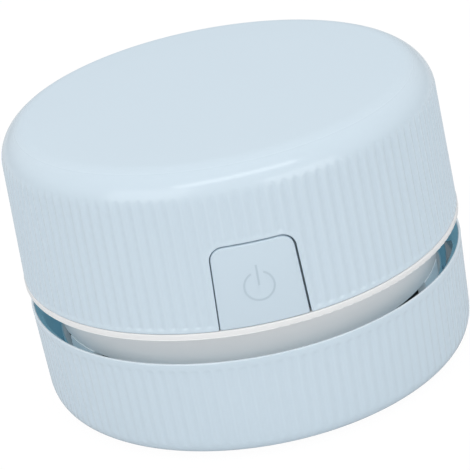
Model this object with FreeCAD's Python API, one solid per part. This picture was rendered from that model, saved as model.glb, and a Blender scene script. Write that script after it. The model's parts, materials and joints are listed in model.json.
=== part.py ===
import FreeCAD, Part
import math
import os
from FreeCAD import Vector

# Desktop mini vacuum cleaner. Origin on the desk under the axis, +Z up, the button faces -Y.
# Millimetres and degrees. Azimuths start at the button and run towards +X.

# Stack heights, from the desk up
foot_height = 1.5
cup_height = 18.75
vent_gap = 4.7
ring_thickness = 1.25
parting_gap = 0.15
shell_height = 28.8

# Outer radii
cup_base_radius = 41.7
cup_rim_radius = 41.9
ring_radius = 42.1
shell_bottom_radius = 42.0
shell_shoulder_radius = 41.0
shell_edge_round = 6.25

# Grip ribs on both shells
rib_count = 122
rib_depth = 0.3
rib_crest_trim = 0.04
rib_crest_share = 0.28
rib_valley_share = 0.22
shell_plain_band = 0.7
cup_plain_band = 1.1

# Walls
shell_wall = 2.0
shell_top_wall = 2.2
cup_wall = 1.6
cup_floor = 2.4
overrun = 1.0

# Dust cup
cup_base_round_width = 1.4
cup_base_round_height = 3.3
lip_wall = 0.45
lip_height = 0.25
lip_slope = 1.15
lip_edge_round = 0.25
cup_base_flats = 3
bowl_inner_radius = 35.8
bowl_wall = 1.6
bowl_height = 7.3
bowl_seat_depth = 0.6
bowl_seat_clearance = 0.05

# Bayonet between the fan floor and the dust cup
bayonet_azimuths = (65.0, 180.0, 295.0)
lug_width_angle = 12.0
lock_turn = 13.5
lug_wall_clearance = 0.3
hook_reach = 1.7
hook_height = 1.5
hook_lug_clearance = 0.2
stop_gap_angle = 0.5
stop_width_angle = 2.0

# Feet
foot_count = 4
foot_radius = 3.5
foot_pitch_radius = 31.5
foot_seat_depth = 0.6
foot_clearance = 0.1
foot_edge_round = 0.4

# Inlet plate, throat and brush
inlet_flange_radius = 22.5
inlet_wall = 1.2
inlet_clearance = 0.2
tub_radius = 17.6
tub_depth = 2.6
throat_radius = 8.5
throat_rise = 3.2
throat_flare = 0.9
brush_ring_width = 5.0
brush_ring_height = 1.2
brush_ring_clearance = 0.3
tuft_count = 26
tuft_radius = 0.75
tuft_tip_radius = 0.95
tuft_seat_depth = 0.8
tuft_tip_height = 0.3

# Seal and filter
seal_thickness = 0.8
seal_inset = 0.1
filter_radius = 25.0
filter_rim_wall = 1.6
filter_height = 2.4
filter_spoke_count = 6
filter_spoke_wall = 1.2
filter_spoke_height = 0.6
filter_hub_radius = 3.0
filter_mesh_thickness = 0.5
filter_mesh_clearance = 0.02
filter_clearance = 0.15
filter_collar_wall = 1.2

# Fan floor
fan_floor_thickness = 1.5
lug_root = 1.5
eye_radius = 10.0
eye_lip_wall = 1.2
eye_lip_height = 0.6
post_width_angle = 15.0
pillar_radius = 2.6
pillar_pitch_radius = 32.3

# Drum, deck and white ring
drum_radius = 37.0
drum_wall = 1.6
drum_drop = 8.5
drum_edge_round = 0.4
drum_seat_depth = 0.5
drum_seat_clearance = 0.05
deck_thickness = 1.5
register_height = 2.2
register_wall = 1.3
register_clearance = 0.2
ring_edge_round = 0.25
register_notch_half_width = 10.5
register_notch_depth = 2.7

# Impeller
blade_count = 9
impeller_radius = 28.0
blade_inner_radius = 9.5
blade_thickness = 0.9
blade_sweep_angle = 48.0
blade_bow_share = 0.42
blade_floor_gap = 1.2
back_disc_thickness = 1.0
back_disc_gap = 1.8
hub_radius = 4.0
hub_bottom_round = 1.5

# Motor
motor_radius = 12.0
motor_length = 20.0
motor_edge_round = 1.0
motor_boss_radius = 3.0
motor_boss_clearance = 0.2
shaft_radius = 1.0
shaft_clearance = 0.04
shaft_end_gap = 0.6
shaft_reach_in_motor = 4.0
bushing_radius = 2.0
motor_screw_pitch_radius = 8.0
motor_collar_height = 7.0
motor_collar_wall = 1.5
motor_collar_clearance = 0.2
end_cap_radius = 10.6
end_cap_height = 1.4
end_cap_boss_radius = 3.2
end_cap_boss_height = 1.0
terminal_width = 2.4
terminal_thickness = 0.5
terminal_height = 2.6
terminal_offset = 6.5
terminal_lead_share = 0.7

# Battery cell and its clip
cell_radius = 7.0
cell_length = 42.0
cell_edge_round = 0.8
cell_motor_gap = 1.4
cell_deck_gap = 1.0
saddle_offset = 14.0
saddle_wall = 1.6
saddle_height = 5.0
saddle_clearance = 0.15
clip_thickness = 0.8
clip_width = 9.0
clip_foot_length = 2.2
tab_radius = 3.0
tab_thickness = 0.3

# Main board, charging socket and charge light
board_half_width = 15.0
board_front = 15.2
board_thickness = 1.2
board_edge_radius = 37.6
standoff_height = 3.0
standoff_radius = 2.0
standoff_x = 11.0
standoff_y = 20.0
socket_width = 9.0
socket_height = 3.2
socket_length = 7.4
socket_wall = 0.3
socket_tongue_height = 0.7
socket_tongue_width = 6.7
socket_tongue_length = 4.6
socket_wall_gap = 0.4
port_clearance = 0.3
led_x = 9.0
led_body = 2.0
led_wall_gap = 4.0
lens_radius = 0.9
lens_clearance = 0.05
chip_size = 5.0
chip_height = 1.2
coil_radius = 2.2
coil_height = 2.4
coil_gap = 2.2
capacitor_size = 2.0
capacitor_gap = 2.0

# Switch and button
button_half_width_low = 7.92
button_half_width_high = 7.5
button_height = 15.15
button_corner_round = 2.4
button_gap = 0.25
button_wall = 1.8
button_flange_wall = 0.9
button_flange_margin = 1.0
button_flange_gap = 0.3
button_travel = 1.2
button_stem_radius = 2.2
button_stem_length = 2.4
switch_half_width = 4.0
switch_body_height = 7.4
switch_body_length = 10.5
switch_rise = 4.0
switch_cheek_wall = 1.2
switch_cheek_rise = 2.4
switch_clearance = 0.1
plunger_radius = 1.5
plunger_clearance = 0.05
plunger_length = 6.4
plunger_entry = 3.4
plunger_spare_depth = 0.8

# Screws
screw_shank_radius = 0.95
screw_hole_clearance = 0.25
screw_head_radius = 1.9
screw_head_height = 0.8
screw_head_clearance = 0.2
screw_bite = 5.0
screw_tip_gap = 1.0
shell_screw_azimuths = (40.0, 140.0, 220.0, 320.0)
boss_radius = 3.0
boss_gusset_wall = 1.2
boss_gusset_drop = 8.0
inlet_boss_height = 5.2
inlet_boss_radius = 2.65
inlet_screw_azimuths = (0.0, 120.0, 240.0)
motor_screw_azimuths = (90.0, 270.0)

# Insulated leads
lead_radius = 0.55
lead_bend_share = 0.45

# Heights derived from the stack
cup_base_z = foot_height
cup_floor_top_z = cup_base_z + cup_floor
cup_rim_z = cup_base_z + cup_height
ring_base_z = cup_rim_z + vent_gap
ring_top_z = ring_base_z + ring_thickness
shell_base_z = ring_top_z + parting_gap
shell_top_z = shell_base_z + shell_height
shell_shoulder_z = shell_top_z - shell_edge_round
bowl_top_z = cup_floor_top_z + bowl_height
seal_top_z = bowl_top_z + seal_thickness
fan_floor_top_z = seal_top_z + fan_floor_thickness
drum_base_z = ring_base_z - drum_drop
deck_top_z = ring_base_z + deck_thickness

# Radii derived from the walls
cup_inner_radius = cup_rim_radius - cup_wall
hook_inner_radius = cup_inner_radius - hook_reach
lug_radius = cup_inner_radius - lug_wall_clearance
fan_floor_radius = bowl_inner_radius + bowl_wall
shell_inner_radius = shell_bottom_radius - shell_wall
drum_inner_radius = drum_radius - drum_wall
register_outer_radius = shell_inner_radius - register_clearance
register_inner_radius = register_outer_radius - register_wall
shell_draft_share = (shell_bottom_radius - shell_shoulder_radius) / (shell_shoulder_z - shell_base_z)


def polar(radius, azimuth, z):
    angle = math.radians(azimuth)
    return Vector(radius * math.sin(angle), -radius * math.cos(angle), z)


def disc(radius, low, high):
    return Part.makeCylinder(radius, high - low, Vector(0, 0, low))


def tube(inner, outer, low, high):
    return disc(outer, low, high).cut(disc(inner, low - overrun, high + overrun))


def post(radius, centre, low, high):
    return Part.makeCylinder(radius, high - low, Vector(centre.x, centre.y, low))


def block(x_low, x_high, y_low, y_high, z_low, z_high):
    corner = Vector(x_low, y_low, z_low)
    return Part.makeBox(x_high - x_low, y_high - y_low, z_high - z_low, corner)


def turned(shape, azimuth):
    copy = shape.copy()
    copy.rotate(Vector(0, 0, 0), Vector(0, 0, 1), azimuth)
    return copy


def line(start, end):
    return Part.LineSegment(start, end).toShape()


def arc(start, middle, end):
    return Part.Arc(start, middle, end).toShape()


def flat_point(radius, z):
    return Vector(radius, 0, z)


def profile(points):
    """Edges in the XZ plane from each (radius, z) pair to the next."""
    corners = [flat_point(radius, z) for radius, z in points]
    return [line(a, b) for a, b in zip(corners, corners[1:])]


def spun(edges):
    face = Part.Face(Part.Wire(edges))
    return face.revolve(Vector(0, 0, 0), Vector(0, 0, 1), 360)


def sector(inner, outer, low, high, azimuth, width_angle):
    """Piece of a tube, width_angle wide, centred on the azimuth."""
    section = profile([(inner, low), (outer, low), (outer, high), (inner, high), (inner, low)])
    face = Part.Face(Part.Wire(section))
    start = azimuth - width_angle / 2 - 90
    face.rotate(Vector(0, 0, 0), Vector(0, 0, 1), start)
    return face.revolve(Vector(0, 0, 0), Vector(0, 0, 1), width_angle)


def quarter_round(centre_r, centre_z, round_r, round_z, from_share, to_share):
    """Arc of an ellipse-like corner, as three points on the quarter from one share to the other."""
    shares = (from_share, (from_share + to_share) / 2, to_share)
    angles = [math.radians(90 * share) for share in shares]
    return [flat_point(centre_r + round_r * math.cos(a), centre_z + round_z * math.sin(a)) for a in angles]


def round_flats(centre_r, centre_z, round_r, round_z, count):
    """Points that follow a quarter round, from straight below its centre outwards, in short flats."""
    points = []
    for step in range(count + 1):
        angle = math.radians(90 * step / count)
        points.append((centre_r + round_r * math.sin(angle), centre_z - round_z * math.cos(angle)))
    return points


def save(shape, name):
    if isinstance(shape, list):
        shape = Part.makeCompound(shape)
    shape.exportStep("parts/" + name + ".step")
    print(name, len(shape.Solids), round(shape.Volume, 1), shape.isValid())


def rib_outline(face_radius, z):
    """One closed wave of ribs and valleys, four corners to a rib; the crests stand just past the face."""
    pitch = 360 / rib_count
    crest_radius = face_radius + rib_crest_trim
    valley_radius = face_radius - rib_depth
    corners = []
    for rib in range(rib_count):
        centre = rib * pitch
        valley = centre + pitch / 2
        corners.append(polar(crest_radius, centre - pitch * rib_crest_share / 2, z))
        corners.append(polar(crest_radius, centre + pitch * rib_crest_share / 2, z))
        corners.append(polar(valley_radius, valley - pitch * rib_valley_share / 2, z))
        corners.append(polar(valley_radius, valley + pitch * rib_valley_share / 2, z))
    return Part.makePolygon(corners + corners[:1])


def ribbed_column(low_radius, high_radius, low, high):
    outlines = [rib_outline(low_radius, low), rib_outline(high_radius, high)]
    return Part.makeLoft(outlines, True, True)


def with_ribs(body, low_radius, high_radius, low, high):
    """Keeps the body whole below and above the ribbed band, and inside the rib wave within it."""
    band = tube(low_radius / 2, low_radius + overrun, low, high)
    waste = band.cut(ribbed_column(low_radius, high_radius, low, high))
    return body.cut(waste)


def screw(centre, head_low, shank_length, up):
    """Pan-head screw; its head starts at head_low and its shank points up or down from the head."""
    head = post(screw_head_radius, centre, head_low, head_low + screw_head_height)
    if up:
        low = head_low + screw_head_height
        shank = post(screw_shank_radius, centre, low, low + shank_length)
    else:
        shank = post(screw_shank_radius, centre, head_low - shank_length, head_low)
    return head.fuse(shank)


# Dust cup

def cup_outline():
    flats = round_flats(
        cup_base_radius - cup_base_round_width, cup_base_z + cup_base_round_height,
        cup_base_round_width, cup_base_round_height, cup_base_flats)
    rim_low = flat_point(cup_rim_radius, cup_rim_z - lip_edge_round)
    rim_points = quarter_round(
        cup_rim_radius - lip_edge_round, cup_rim_z - lip_edge_round,
        lip_edge_round, lip_edge_round, 0, 1)
    axis_top = flat_point(0, cup_rim_z)
    axis_base = flat_point(0, cup_base_z)
    base_edges = profile([(0, cup_base_z)] + flats)
    return base_edges + [
        line(flat_point(*flats[-1]), rim_low),
        arc(rim_low, rim_points[1], rim_points[2]),
        line(rim_points[2], axis_top),
        line(axis_top, axis_base),
    ]


def cup_cavity():
    """Room over the flat floor, with the wall thinned to a lip at the rim."""
    lip_low = cup_rim_z - lip_height
    slope_low = lip_low - lip_slope
    lip_radius = cup_rim_radius - lip_wall
    return spun(profile([
        (0, cup_floor_top_z), (cup_inner_radius, cup_floor_top_z), (cup_inner_radius, slope_low),
        (lip_radius, lip_low), (lip_radius, cup_rim_z + overrun), (0, cup_rim_z + overrun),
        (0, cup_floor_top_z)]))


def bayonet_hooks():
    """A hook over each locked lug, with a web at its far end that stops the turn."""
    hook_low = fan_floor_top_z + hook_lug_clearance
    hook_high = hook_low + hook_height
    outer = cup_inner_radius + cup_wall / 2
    pieces = []
    for azimuth in bayonet_azimuths:
        locked = azimuth + lock_turn
        stop = locked + lug_width_angle / 2 + stop_gap_angle + stop_width_angle / 2
        pieces.append(sector(hook_inner_radius, outer, hook_low, hook_high, locked, lug_width_angle))
        bridge = (locked + stop) / 2
        bridge_width = stop - locked + stop_width_angle
        pieces.append(sector(hook_inner_radius, outer, hook_low, hook_high, bridge, bridge_width))
        pieces.append(sector(hook_inner_radius, outer, bowl_top_z, hook_high, stop, stop_width_angle))
    return pieces


def foot_centres(z):
    start = 180 / foot_count
    return [polar(foot_pitch_radius, start + 360 * step / foot_count, z) for step in range(foot_count)]


def inlet_screw_centres(z):
    pitch_radius = (inlet_flange_radius + tub_radius) / 2
    return [polar(pitch_radius, azimuth, z) for azimuth in inlet_screw_azimuths]


def dust_cup():
    outer = spun(cup_outline())
    ribs_low = cup_base_z
    ribs_high = cup_rim_z - cup_plain_band
    body = with_ribs(outer, cup_base_radius, cup_rim_radius, ribs_low, ribs_high)
    body = body.cut(cup_cavity())
    body = body.fuse(bayonet_hooks())
    boss_top = cup_floor_top_z + inlet_boss_height
    boss_low = cup_base_z + inlet_wall
    body = body.fuse([post(inlet_boss_radius, c, boss_low, boss_top) for c in inlet_screw_centres(0)])
    groove_outer = bowl_inner_radius + bowl_wall + bowl_seat_clearance
    cuts = [tube(bowl_inner_radius - bowl_seat_clearance, groove_outer,
                 cup_floor_top_z - bowl_seat_depth, cup_floor_top_z + overrun)]
    cuts += [disc(inlet_flange_radius + inlet_clearance, cup_base_z - overrun, cup_base_z + inlet_wall)]
    cuts.append(disc(tub_radius + inlet_clearance, cup_base_z - overrun, bowl_top_z))
    cuts += [post(foot_radius + foot_clearance, c, cup_base_z - overrun, cup_base_z + foot_seat_depth)
             for c in foot_centres(0)]
    screw_end = cup_base_z + screw_head_height + screw_bite + screw_tip_gap
    cuts += [post(screw_shank_radius, c, cup_base_z, screw_end) for c in inlet_screw_centres(0)]
    return body.cut(cuts).removeSplitter()


def screw_hole_radius():
    return screw_shank_radius + screw_hole_clearance


def bowl_ring():
    """Wall of the dust bowl, a loose ring that stands in a groove of the cup's floor."""
    outer = bowl_inner_radius + bowl_wall
    return tube(bowl_inner_radius, outer, cup_floor_top_z - bowl_seat_depth, bowl_top_z)


def foot_pads():
    pads = []
    for centre in foot_centres(0):
        pad = post(foot_radius, centre, 0, cup_base_z + foot_seat_depth)
        low_edge = [edge for edge in pad.Edges if edge.BoundBox.ZMax < foot_edge_round]
        pads.append(pad.makeFillet(foot_edge_round, low_edge))
    return pads


# Inlet plate with the brush

def tub_ceiling_z():
    return cup_base_z + tub_depth


def inlet_plate():
    """Flange screwed under the cup, a tub that hides the brush, and the throat rising into the bowl."""
    tub_inner = tub_radius - inlet_wall
    throat_outer = throat_radius + inlet_wall
    ceiling = tub_ceiling_z()
    throat_top = ceiling + inlet_wall + throat_rise
    body = spun(profile([
        (tub_inner, cup_base_z), (inlet_flange_radius, cup_base_z),
        (inlet_flange_radius, cup_base_z + inlet_wall), (tub_radius, cup_base_z + inlet_wall),
        (tub_radius, ceiling + inlet_wall), (throat_outer, ceiling + inlet_wall),
        (throat_outer, throat_top), (throat_radius, throat_top), (throat_radius, cup_base_z + throat_flare),
        (throat_radius + throat_flare, cup_base_z), (throat_outer + throat_flare, cup_base_z),
        (throat_outer, cup_base_z + throat_flare), (throat_outer, ceiling), (tub_inner, ceiling),
        (tub_inner, cup_base_z)]))
    holes = []
    for centre in inlet_screw_centres(0):
        holes.append(post(screw_hole_radius(), centre, cup_base_z - overrun, cup_base_z + inlet_wall + overrun))
        head_hole = screw_head_radius + screw_head_clearance
        holes.append(post(head_hole, centre, cup_base_z - overrun, cup_base_z + screw_head_height))
    return body.cut(holes)


def brush_ring_radii():
    inner = throat_radius + inlet_wall + brush_ring_clearance
    return inner, inner + brush_ring_width


def tuft_centres(z):
    pitch_radius = sum(brush_ring_radii()) / 2
    return [polar(pitch_radius, 360 * step / tuft_count, z) for step in range(tuft_count)]


def brush_ring():
    inner, outer = brush_ring_radii()
    high = tub_ceiling_z()
    low = high - brush_ring_height
    ring = tube(inner, outer, low, high)
    return ring.cut([post(tuft_radius, c, low - overrun, low + tuft_seat_depth) for c in tuft_centres(0)])


def bristle_tufts():
    high = tub_ceiling_z() - brush_ring_height + tuft_seat_depth
    low = tuft_tip_height
    tufts = []
    for centre in tuft_centres(low):
        seat = post(tuft_radius, centre, high - tuft_seat_depth, high)
        flare = Part.makeCone(tuft_tip_radius, tuft_radius, high - tuft_seat_depth - low, centre)
        tufts.append(seat.fuse(flare).removeSplitter())
    return tufts


def inlet_screws():
    return [screw(c, cup_base_z, screw_bite, True) for c in inlet_screw_centres(0)]


# Seal and filter

def bowl_seal():
    inner = bowl_inner_radius + seal_inset
    outer = bowl_inner_radius + bowl_wall - seal_inset
    return tube(inner, outer, bowl_top_z, seal_top_z)


def filter_base_z():
    return seal_top_z - filter_height


def filter_frame():
    low = filter_base_z()
    inner = filter_radius - filter_rim_wall
    rim = tube(inner, filter_radius, low, seal_top_z)
    spoke_high = low + filter_spoke_height
    hub = disc(filter_hub_radius, low, spoke_high)
    reach = inner + filter_rim_wall / 2
    spoke = block(0, reach, -filter_spoke_wall / 2, filter_spoke_wall / 2, low, spoke_high)
    spokes = [turned(spoke, 360 * step / filter_spoke_count) for step in range(filter_spoke_count)]
    return rim.fuse([hub] + spokes).removeSplitter()


def filter_mesh():
    low = filter_base_z() + filter_spoke_height
    return disc(filter_radius - filter_rim_wall - filter_mesh_clearance, low, low + filter_mesh_thickness)


# Fan floor

def pillar_centres(z):
    return [polar(pillar_pitch_radius, azimuth, z) for azimuth in bayonet_azimuths]


def fan_floor():
    """Plate with the eye, the filter collar, the lugs and the posts that carry the drum."""
    body = disc(fan_floor_radius, seal_top_z, fan_floor_top_z)
    lug_inner = fan_floor_radius - lug_root
    lugs = [sector(lug_inner, lug_radius, seal_top_z, fan_floor_top_z, azimuth, lug_width_angle)
            for azimuth in bayonet_azimuths]
    posts = [sector(drum_inner_radius, drum_radius, fan_floor_top_z, drum_base_z, azimuth, post_width_angle)
             for azimuth in bayonet_azimuths]
    lip_outer = eye_radius + eye_lip_wall
    eye_lip = tube(eye_radius, lip_outer, fan_floor_top_z, fan_floor_top_z + eye_lip_height)
    collar_inner = filter_radius + filter_clearance
    collar = tube(collar_inner, collar_inner + filter_collar_wall, filter_base_z(), seal_top_z)
    body = body.fuse(lugs + posts + [eye_lip, collar])
    cuts = [disc(eye_radius, seal_top_z - overrun, fan_floor_top_z + eye_lip_height + overrun)]
    for centre in pillar_centres(0):
        cuts.append(post(screw_hole_radius(), centre, seal_top_z - overrun, fan_floor_top_z + overrun))
        head_hole = screw_head_radius + screw_head_clearance
        cuts.append(post(head_hole, centre, seal_top_z - overrun, seal_top_z + screw_head_height))
    return body.cut(cuts).removeSplitter()


def floor_screws():
    return [screw(c, seal_top_z, screw_bite, True) for c in pillar_centres(0)]


# Drum and mid frame: the deck, the white ring and the seats for what stands on the deck

def shell_screw_centres(z):
    return [polar(pillar_pitch_radius, azimuth, z) for azimuth in shell_screw_azimuths]


def motor_screw_centres(z):
    return [polar(motor_screw_pitch_radius, azimuth, z) for azimuth in motor_screw_azimuths]


def drum():
    """Wall of the fan chamber; it stands on the posts and its top sits in a groove of the deck."""
    drum_round = drum_edge_round
    lip = quarter_round(drum_radius - drum_round, drum_base_z + drum_round, drum_round, drum_round, 0, -1)
    inner_low = flat_point(drum_inner_radius, drum_base_z)
    inner_high = flat_point(drum_inner_radius, ring_base_z + drum_seat_depth)
    outer_high = flat_point(drum_radius, ring_base_z + drum_seat_depth)
    return spun([
        line(inner_high, inner_low),
        line(inner_low, lip[2]),
        arc(lip[2], lip[1], lip[0]),
        line(lip[0], outer_high),
        line(outer_high, inner_high),
    ])


def ring_and_deck():
    """The white ring under the shell, the deck inside it and the register that centres the shell."""
    edge = ring_edge_round
    ring_low = quarter_round(ring_radius - edge, ring_base_z + edge, edge, edge, -1, 0)
    ring_high = quarter_round(ring_radius - edge, ring_top_z - edge, edge, edge, 0, 1)
    register_top = ring_top_z + register_height
    register = profile([
        (register_outer_radius, ring_top_z), (register_outer_radius, register_top),
        (register_inner_radius, register_top), (register_inner_radius, deck_top_z), (0, deck_top_z),
        (0, ring_base_z)])
    return spun([
        line(flat_point(0, ring_base_z), ring_low[0]),
        arc(ring_low[0], ring_low[1], ring_low[2]),
        line(ring_low[2], ring_high[0]),
        arc(ring_high[0], ring_high[1], ring_high[2]),
        line(ring_high[2], flat_point(register_outer_radius, ring_top_z)),
    ] + register)


def cell_centre_x():
    return motor_radius + motor_collar_clearance + motor_collar_wall + cell_motor_gap + cell_radius


def cell_centre_z():
    return deck_top_z + cell_deck_gap + cell_radius


def cell_saddles():
    """Two cradle walls on the deck, hollowed to the cell."""
    centre_x = cell_centre_x()
    centre_z = cell_centre_z()
    low = deck_top_z - deck_thickness / 2
    bed = Part.makeCylinder(
        cell_radius + saddle_clearance, cell_length, Vector(centre_x, -cell_length / 2, centre_z), Vector(0, 1, 0))
    saddles = []
    for side in (-1, 1):
        y_low = side * saddle_offset - saddle_wall / 2
        wall = block(centre_x - cell_radius, centre_x + cell_radius, y_low, y_low + saddle_wall,
                     low, deck_top_z + saddle_height)
        saddles.append(wall.cut(bed))
    return saddles


def switch_rear_y():
    return switch_front_y() + switch_body_length


def switch_front_y():
    """The switch starts where the plunger, pressed home, still clears the stem."""
    return button_back_y() + button_flange_wall + button_stem_length + plunger_length - plunger_entry


def button_back_y():
    """Inner face of the button panel, flat across the axis plane."""
    return -(shell_bottom_radius - button_wall - button_flange_gap)


def switch_base_z():
    return deck_top_z + switch_rise


def switch_bed():
    """Two bearers under the switch with cheeks beside it."""
    inner = switch_half_width + switch_clearance
    outer = inner + switch_cheek_wall
    low = deck_top_z - deck_thickness / 2
    high = switch_base_z() + switch_cheek_rise
    front = switch_front_y() + switch_cheek_wall
    rear = switch_rear_y() - switch_cheek_wall
    cheeks = [block(x, x + switch_cheek_wall, front, rear, low, high) for x in (-outer, inner)]
    bearers = [block(-outer, outer, y, y + switch_cheek_wall, low, switch_base_z())
               for y in (front, rear - switch_cheek_wall)]
    return cheeks + bearers


def standoff_centres(z):
    return [Vector(side * standoff_x, standoff_y, z) for side in (-1, 1)]


def motor_collar():
    inner = motor_radius + motor_collar_clearance
    return tube(inner, inner + motor_collar_wall, deck_top_z - deck_thickness / 2, deck_top_z + motor_collar_height)


def mid_frame():
    body = ring_and_deck()
    additions = [post(pillar_radius, c, fan_floor_top_z, ring_base_z + deck_thickness / 2) for c in pillar_centres(0)]
    additions += cell_saddles() + switch_bed() + [motor_collar()]
    low = deck_top_z - deck_thickness / 2
    additions += [post(standoff_radius, c, low, deck_top_z + standoff_height) for c in standoff_centres(0)]
    body = body.fuse(additions)
    notch_rear = register_notch_depth - register_inner_radius
    cuts = [block(-register_notch_half_width, register_notch_half_width, -ring_radius, notch_rear,
                  ring_top_z, ring_top_z + register_height + overrun)]
    cuts.append(tube(drum_inner_radius - drum_seat_clearance, drum_radius + drum_seat_clearance,
                     ring_base_z - overrun, ring_base_z + drum_seat_depth))
    cuts.append(disc(motor_boss_radius + motor_boss_clearance, ring_base_z - overrun, deck_top_z + overrun))
    for centre in motor_screw_centres(0) + shell_screw_centres(0):
        cuts.append(post(screw_hole_radius(), centre, ring_base_z - overrun, deck_top_z + overrun))
    for centre in pillar_centres(0):
        cuts.append(post(screw_shank_radius, centre, fan_floor_top_z - overrun,
                         seal_top_z + screw_head_height + screw_bite + screw_tip_gap))
    for centre in standoff_centres(0):
        cuts.append(post(screw_shank_radius, centre, deck_top_z, deck_top_z + standoff_height + overrun))
    return body.cut(cuts).removeSplitter()


def shell_screws():
    low = ring_base_z - screw_head_height
    return [screw(c, low, screw_bite, True) for c in shell_screw_centres(0)]


def motor_screws():
    low = ring_base_z - screw_head_height
    return [screw(c, low, screw_bite - deck_thickness, True) for c in motor_screw_centres(0)]


# Impeller

def impeller_low_z():
    return fan_floor_top_z + blade_floor_gap


def impeller_high_z():
    return ring_base_z - back_disc_gap


def blade(low, high):
    """Backward-swept blade: two concentric arcs across the disc, closed at both ends."""
    sweep = blade_sweep_angle
    inner_half = math.degrees(blade_thickness / 2 / blade_inner_radius)
    outer_half = math.degrees(blade_thickness / 2 / impeller_radius)
    middle_radius = (blade_inner_radius + impeller_radius) / 2
    middle_half = math.degrees(blade_thickness / 2 / middle_radius)
    middle = sweep * blade_bow_share
    left = [polar(blade_inner_radius, -inner_half, low), polar(middle_radius, middle - middle_half, low),
            polar(impeller_radius, sweep - outer_half, low)]
    right = [polar(blade_inner_radius, inner_half, low), polar(middle_radius, middle + middle_half, low),
             polar(impeller_radius, sweep + outer_half, low)]
    edges = [arc(*left), line(left[2], right[2]), arc(*reversed(right)), line(right[0], left[0])]
    return Part.Face(Part.Wire(edges)).extrude(Vector(0, 0, high - low))


def impeller():
    low = impeller_low_z()
    high = impeller_high_z()
    disc_low = high - back_disc_thickness
    body = disc(impeller_radius, disc_low, high)
    hub = disc(hub_radius, low, high)
    nose = [edge for edge in hub.Edges if edge.BoundBox.ZMax < low + overrun]
    hub = hub.makeFillet(hub_bottom_round, nose)
    first = blade(low, disc_low + back_disc_thickness / 2)
    blades = [turned(first, 360 * step / blade_count) for step in range(blade_count)]
    body = body.fuse([hub] + blades)
    bore = disc(shaft_radius, low - overrun, high + overrun)
    return body.cut(bore).removeSplitter()


def motor_shaft():
    return disc(shaft_radius, impeller_low_z() - shaft_end_gap, deck_top_z + shaft_reach_in_motor)


# Motor

def motor_top_z():
    return deck_top_z + motor_length


def motor_can():
    body = disc(motor_radius, deck_top_z, motor_top_z())
    rims = [edge for edge in body.Edges if edge.Length > motor_radius and edge.BoundBox.ZLength < overrun]
    body = body.makeFillet(motor_edge_round, rims)
    body = body.fuse(disc(motor_boss_radius, ring_base_z, deck_top_z + overrun))
    bore_high = deck_top_z + shaft_reach_in_motor + shaft_end_gap
    cuts = [disc(shaft_radius + shaft_clearance, ring_base_z - overrun, bore_high)]
    cuts.append(disc(bushing_radius, ring_base_z - overrun, deck_top_z + deck_thickness))
    reach = deck_top_z + screw_bite - deck_thickness
    cuts += [post(screw_shank_radius, c, ring_base_z, reach) for c in motor_screw_centres(0)]
    return body.cut(cuts).removeSplitter()


def motor_bushing():
    return tube(shaft_radius + shaft_clearance, bushing_radius, ring_base_z, deck_top_z + deck_thickness)


def motor_end_cap():
    low = motor_top_z()
    cap = disc(end_cap_radius, low, low + end_cap_height)
    cap = cap.fuse(disc(end_cap_boss_radius, low, low + end_cap_height + end_cap_boss_height))
    return cap.removeSplitter()


def terminal_y():
    return -end_cap_radius / 2


def motor_terminals():
    low = motor_top_z() + end_cap_height
    tabs = []
    for side in (-1, 1):
        x = side * terminal_offset
        tabs.append(block(x - terminal_width / 2, x + terminal_width / 2,
                          -terminal_thickness / 2, terminal_thickness / 2, low, low + terminal_height))
    return tabs


# Battery cell

def cell_axis_point(y):
    return Vector(cell_centre_x(), y, cell_centre_z())


def battery_cell():
    body = Part.makeCylinder(cell_radius, cell_length, cell_axis_point(-cell_length / 2), Vector(0, 1, 0))
    rims = [edge for edge in body.Edges if edge.BoundBox.YLength < overrun]
    return body.makeFillet(cell_edge_round, rims)


def battery_tabs():
    """A spot-welded tab on each end of the cell."""
    tabs = []
    for y in (-cell_length / 2 - tab_thickness, cell_length / 2):
        tabs.append(Part.makeCylinder(tab_radius, tab_thickness, cell_axis_point(y), Vector(0, 1, 0)))
    return tabs


def battery_clip():
    """Band over the cell with two legs to the deck and a foot on the outer side."""
    inner = cell_radius + saddle_clearance
    outer = inner + clip_thickness
    start = cell_axis_point(-clip_width / 2)
    hoop = Part.makeCylinder(outer, clip_width, start, Vector(0, 1, 0))
    hoop = hoop.fuse(block(start.x - outer, start.x + outer, -clip_width / 2, clip_width / 2, deck_top_z, start.z))
    gap = Part.makeCylinder(inner, clip_width, start, Vector(0, 1, 0))
    gap = gap.fuse(block(start.x - inner, start.x + inner, -clip_width / 2, clip_width / 2, deck_top_z, start.z))
    foot = block(start.x + inner, start.x + outer + clip_foot_length, -clip_width / 2, clip_width / 2,
                 deck_top_z, deck_top_z + clip_thickness)
    return hoop.cut(gap).fuse(foot).removeSplitter()


# Main board

def board_base_z():
    return deck_top_z + standoff_height


def board_top_z():
    return board_base_z() + board_thickness


def main_board():
    low = board_base_z()
    outline = block(-board_half_width, board_half_width, board_front, board_edge_radius, low, board_top_z())
    body = outline.common(disc(board_edge_radius, low, board_top_z()))
    return body.cut([post(screw_hole_radius(), c, low - overrun, board_top_z() + overrun)
                     for c in standoff_centres(0)])


def board_screws():
    return [screw(c, board_top_z(), standoff_height, False) for c in standoff_centres(0)]


def board_parts():
    """Charging chip, choke and two small capacitors."""
    low = board_top_z()
    chip = block(-chip_size / 2, chip_size / 2, standoff_y, standoff_y + chip_size, low, low + chip_height)
    choke_y = standoff_y + chip_size + coil_gap + coil_radius
    choke = post(coil_radius, Vector(-chip_size / 2 - coil_radius, choke_y, 0), low, low + coil_height)
    second_x = capacitor_gap + capacitor_size + capacitor_gap
    capacitors = [block(x, x + capacitor_size, choke_y, choke_y + capacitor_size, low, low + chip_height)
                  for x in (capacitor_gap, second_x)]
    return [chip, choke] + capacitors


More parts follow.
